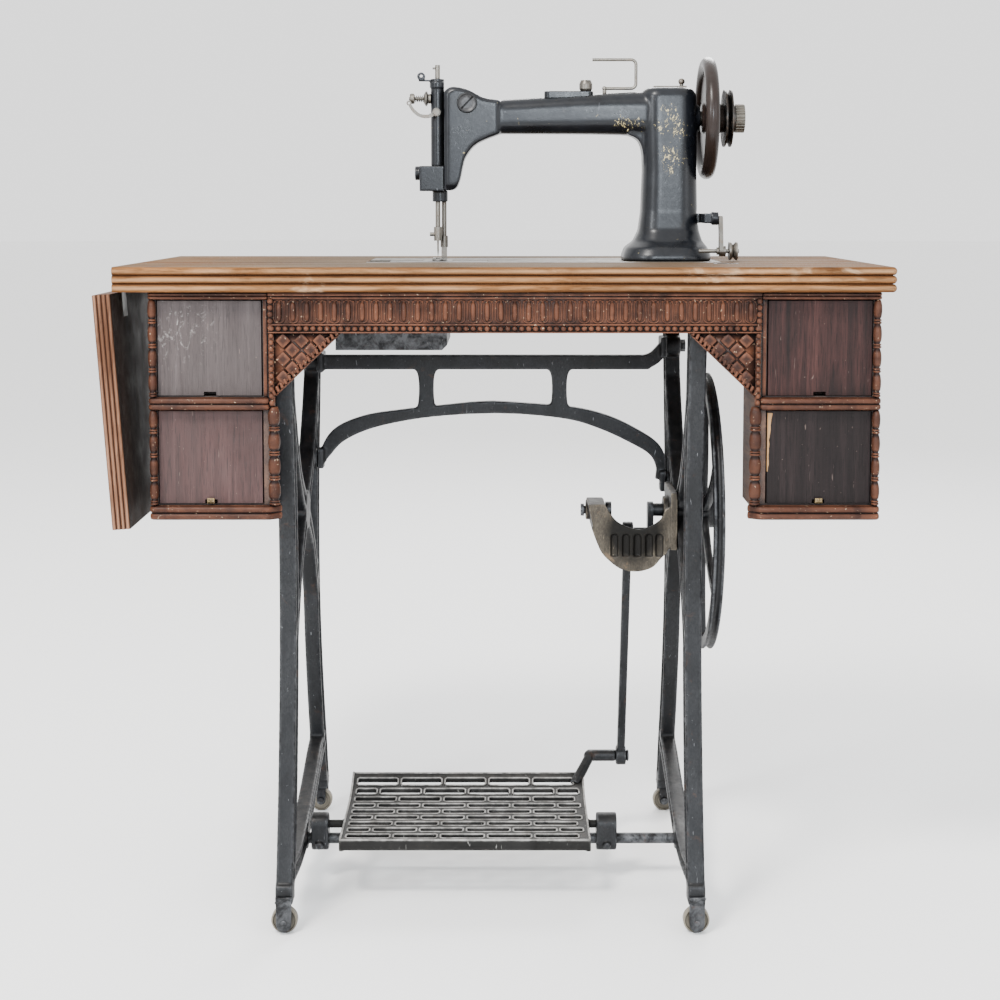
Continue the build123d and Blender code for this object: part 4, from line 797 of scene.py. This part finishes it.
def build_tabs():
    """Brass pulls: a tongue under each lower drawer's front, with a lip turned up before it."""
    z = LOW_RAIL[1] + 2.1
    for name, xc in (("left", LEFT_COLUMN), ("right", RIGHT_COLUMN)):
        bm = bmesh.new()
        add_box(bm, xc - 4.2, xc + 4.2, FRONT + 3.5, FRONT + 20, z, z + 1.8, 0.4)
        add_box(bm, xc - 4.2, xc + 4.2, FRONT + 3.5, FRONT + 5.6, z, z + 6.0, 0.5)
        add_bead(bm, xc, FRONT + 3.4, z + 4.0, 1.7, 0.8, 1.7)
        piece(f"{name}_pull_tab", bm, BRASS, f"lower_{name}_drawer", "bright_steel")


def build_screw():
    bm = bmesh.new()
    profile = [(2.7, SCREW_R - 0.2), (0.2, SCREW_R), (-0.2, SCREW_R - 0.8), (-0.3, SCREW_R - 2.0),
               (0.2, SCREW_R - 2.3), (0.1, 5.0), (0.0, 0.3)]
    add_lathe(bm, SCREW_AT, profile, "y", 40)
    return piece("slotted_screw", bm, SCREW, "frame", "bright_steel", "head_screw")


def build_feet():
    """Flat tongues over the outer faces of the casters, each under an S-shaped step."""
    bm = bmesh.new()
    caster_rows = ((-195.0, -1), (220.0, 1))          # place from front to back, and which way is outwards
    for x in (-262.0, 208.0):
        for y, out in caster_rows:
            face = y + out * 9.6
            outline = [(x + 8.6 * math.cos(a), 12.8 + 9.4 * math.sin(a))
                       for a in [math.pi + math.pi * k / 12 for k in range(13)]]
            outline += [(x + 8.8, 34), (x + 9.4, 44), (x - 9.4, 44), (x - 8.8, 34)]
            near = [bm.verts.new(P(u, face + out * 2.4, w)) for u, w in outline]
            far = [bm.verts.new(P(u, face, w)) for u, w in outline]
            soft = [bm.verts.new(P(x + (u - x) * 0.86, face + out * 3.2, 26 + (w - 26) * 0.93))
                    for u, w in outline]
            bm.faces.new(soft)
            bm.faces.new(far)
            join_rings(bm, (near, far))
            join_rings(bm, (soft, near))
            across = [-1 + k / 5 for k in range(11)]
            step = [(x + t * 9.3, face + out * 2.2, 40.5 + 2.6 * math.sin(t * 2.6)) for t in across]
            add_tube(bm, step, 1.9, 8)
            rivet = [(0, 3.6), (out * 1.8, 3.3), (out * 2.6, 2.0)]
            add_lathe(bm, (x, face + out * 2.0, 14.5), rivet, "y", 14)
    return piece("foot_tongues", bm, STAND, "frame", "stand_iron")


def plate_top(y):
    """Height of the treadle's top face, which turns up towards the back."""
    knots = ((-110, 0.0), (0, 0.0), (30, 0.6), (55, 3.5), (76, 9.0), (95, 17.0))
    for (y0, z0), (y1, z1) in zip(knots[:-1], knots[1:]):
        if y <= y1:
            return 76.0 + z0 + (z1 - z0) * (y - y0) / (y1 - y0)
    return 93.0


def slot_outline(x0, x1, y0, y1):
    """Round a treadle slot, 0.6 outside it, with its corners cut off."""
    c = 2.0
    loop = [(x0 - 0.6, y0 + c), (x0 - 0.6, y1 - c), (x0 + c, y1 + 0.6)]
    loop += [(x0 + (x1 - x0) * k / 4, y1 + 0.6) for k in (1, 2, 3)] + [(x1 - c, y1 + 0.6)]
    loop += [(x1 + 0.6, y1 - c), (x1 + 0.6, y0 + c), (x1 - c, y0 - 0.6)]
    return loop + [(x0 + (x1 - x0) * k / 4, y0 - 0.6) for k in (3, 2, 1)] + [(x0 + c, y0 - 0.6)]


def build_treadle_rims():
    """Raised worn rim round every slot of the treadle and along its border."""
    bm = bmesh.new()
    up = (0, 0, 1)
    x_low, x_high, y_low, y_high = -208.0, 92.0, -110.0, 95.0
    wide, deep = x_high - x_low, y_high - y_low
    rows, slot, bar, border = 9, 51.5, 5.0, 8
    pitch = (deep - 10) / rows
    for row in range(rows):
        y0 = y_low + 7 + row * pitch
        y1 = y0 + pitch - 8.5
        x = x_low + border - (slot / 2 if row % 2 else 0)
        while x < x_high - 12:
            x0, x1 = max(x, x_low + border), min(x + slot, x_high - border)
            if x1 - x0 > border:
                loop = [(u, v, plate_top(v) + 0.1 + wobble(0.1)) for u, v in slot_outline(x0, x1, y0, y1)]
                add_tube(bm, loop, 1.1, 6, True, 0.9, up)
            x += slot + bar
    for v in (y_low + 1.2, y_high - 2.2):
        edge = [(x_low + 1 + (wide - 2) * k / 12, v, plate_top(v) - 0.1) for k in range(13)]
        add_tube(bm, edge, 1.5, 6, False, 0.9, up)
    for u in (x_low + 1.5, x_high - 1.5):
        edge = [(u, y_low + 1 + (deep - 3) * k / 14, plate_top(y_low + deep * k / 14)) for k in range(15)]
        add_tube(bm, edge, 1.4, 6, False, 0.9, up)
    return piece("treadle_rims", bm, TREAD_RIM, "treadle", "stand_iron")


build_feet()
build_treadle_rims()
build_apron()
build_brackets()
build_bead_columns()
build_rails()
build_posts()
build_leaf()
build_tabs()
build_screw()

# ------------------------------------------------------------------ floor, light and camera
world = bpy.data.worlds.new("studio")
bpy.context.scene.world = world
world.use_nodes = True
sky = world.node_tree.nodes["Background"]
sky.inputs["Color"].default_value = (1.0, 1.0, 1.0, 1.0)
sky.inputs["Strength"].default_value = 1.8
bm = bmesh.new()
bmesh.ops.create_circle(bm, cap_ends=True, segments=96, radius=40)
mesh = bpy.data.meshes.new("floor")
bm.to_mesh(mesh)
bm.free()
floor = bpy.data.objects.new("floor", mesh)
bpy.context.scene.collection.objects.link(floor)
mesh.materials.append(Nodes("pale_floor").done((0.93, 0.93, 0.925), 0.9))


def lamp(name, at, aim, size, power, colour=(1, 1, 1)):
    """A round lamp at one place, turned towards another; metres and watts."""
    light = bpy.data.lights.new(name, "AREA")
    light.shape, light.size, light.energy, light.color = "DISK", size, power, colour
    o = bpy.data.objects.new(name, light)
    o.location = at
    o.rotation_euler = (Vector(aim) - Vector(at)).to_track_quat("-Z", "Y").to_euler()
    bpy.context.scene.collection.objects.link(o)


lamp("key", (-1.2, -2.0, 3.1), (0.0, 0.0, 0.6), 0.9, 150, (1.0, 0.97, 0.93))
lamp("sheen", (0.2, -2.9, 1.3), (0.1, 0.0, 0.8), 0.4, 44, (0.82, 0.91, 1.0))
lamp("fill", (2.4, -2.4, 1.5), (0.1, 0.0, 0.6), 1.6, 20, (0.93, 0.96, 1.0))
lamp("back", (0.6, 2.6, 2.4), (0.0, 0.0, 0.7), 1.4, 60)
lamp("window", (-2.2, -2.4, 1.7), (0.1, 0.0, 0.85), 0.6, 45, (0.9, 0.95, 1.0))

TILT = math.radians(4.64)             # how far the camera looks down
camera = bpy.data.cameras.new("camera")
camera.sensor_width, camera.lens = 36.0, 64.44
camera.shift_x, camera.shift_y = -0.0032, -0.15
view = bpy.data.objects.new("camera", camera)
view.location = (0.0098, -2.1896, 0.8283)
view.rotation_euler = (math.pi / 2 - TILT, 0, 0)
bpy.context.scene.collection.objects.link(view)
bpy.context.scene.camera = view
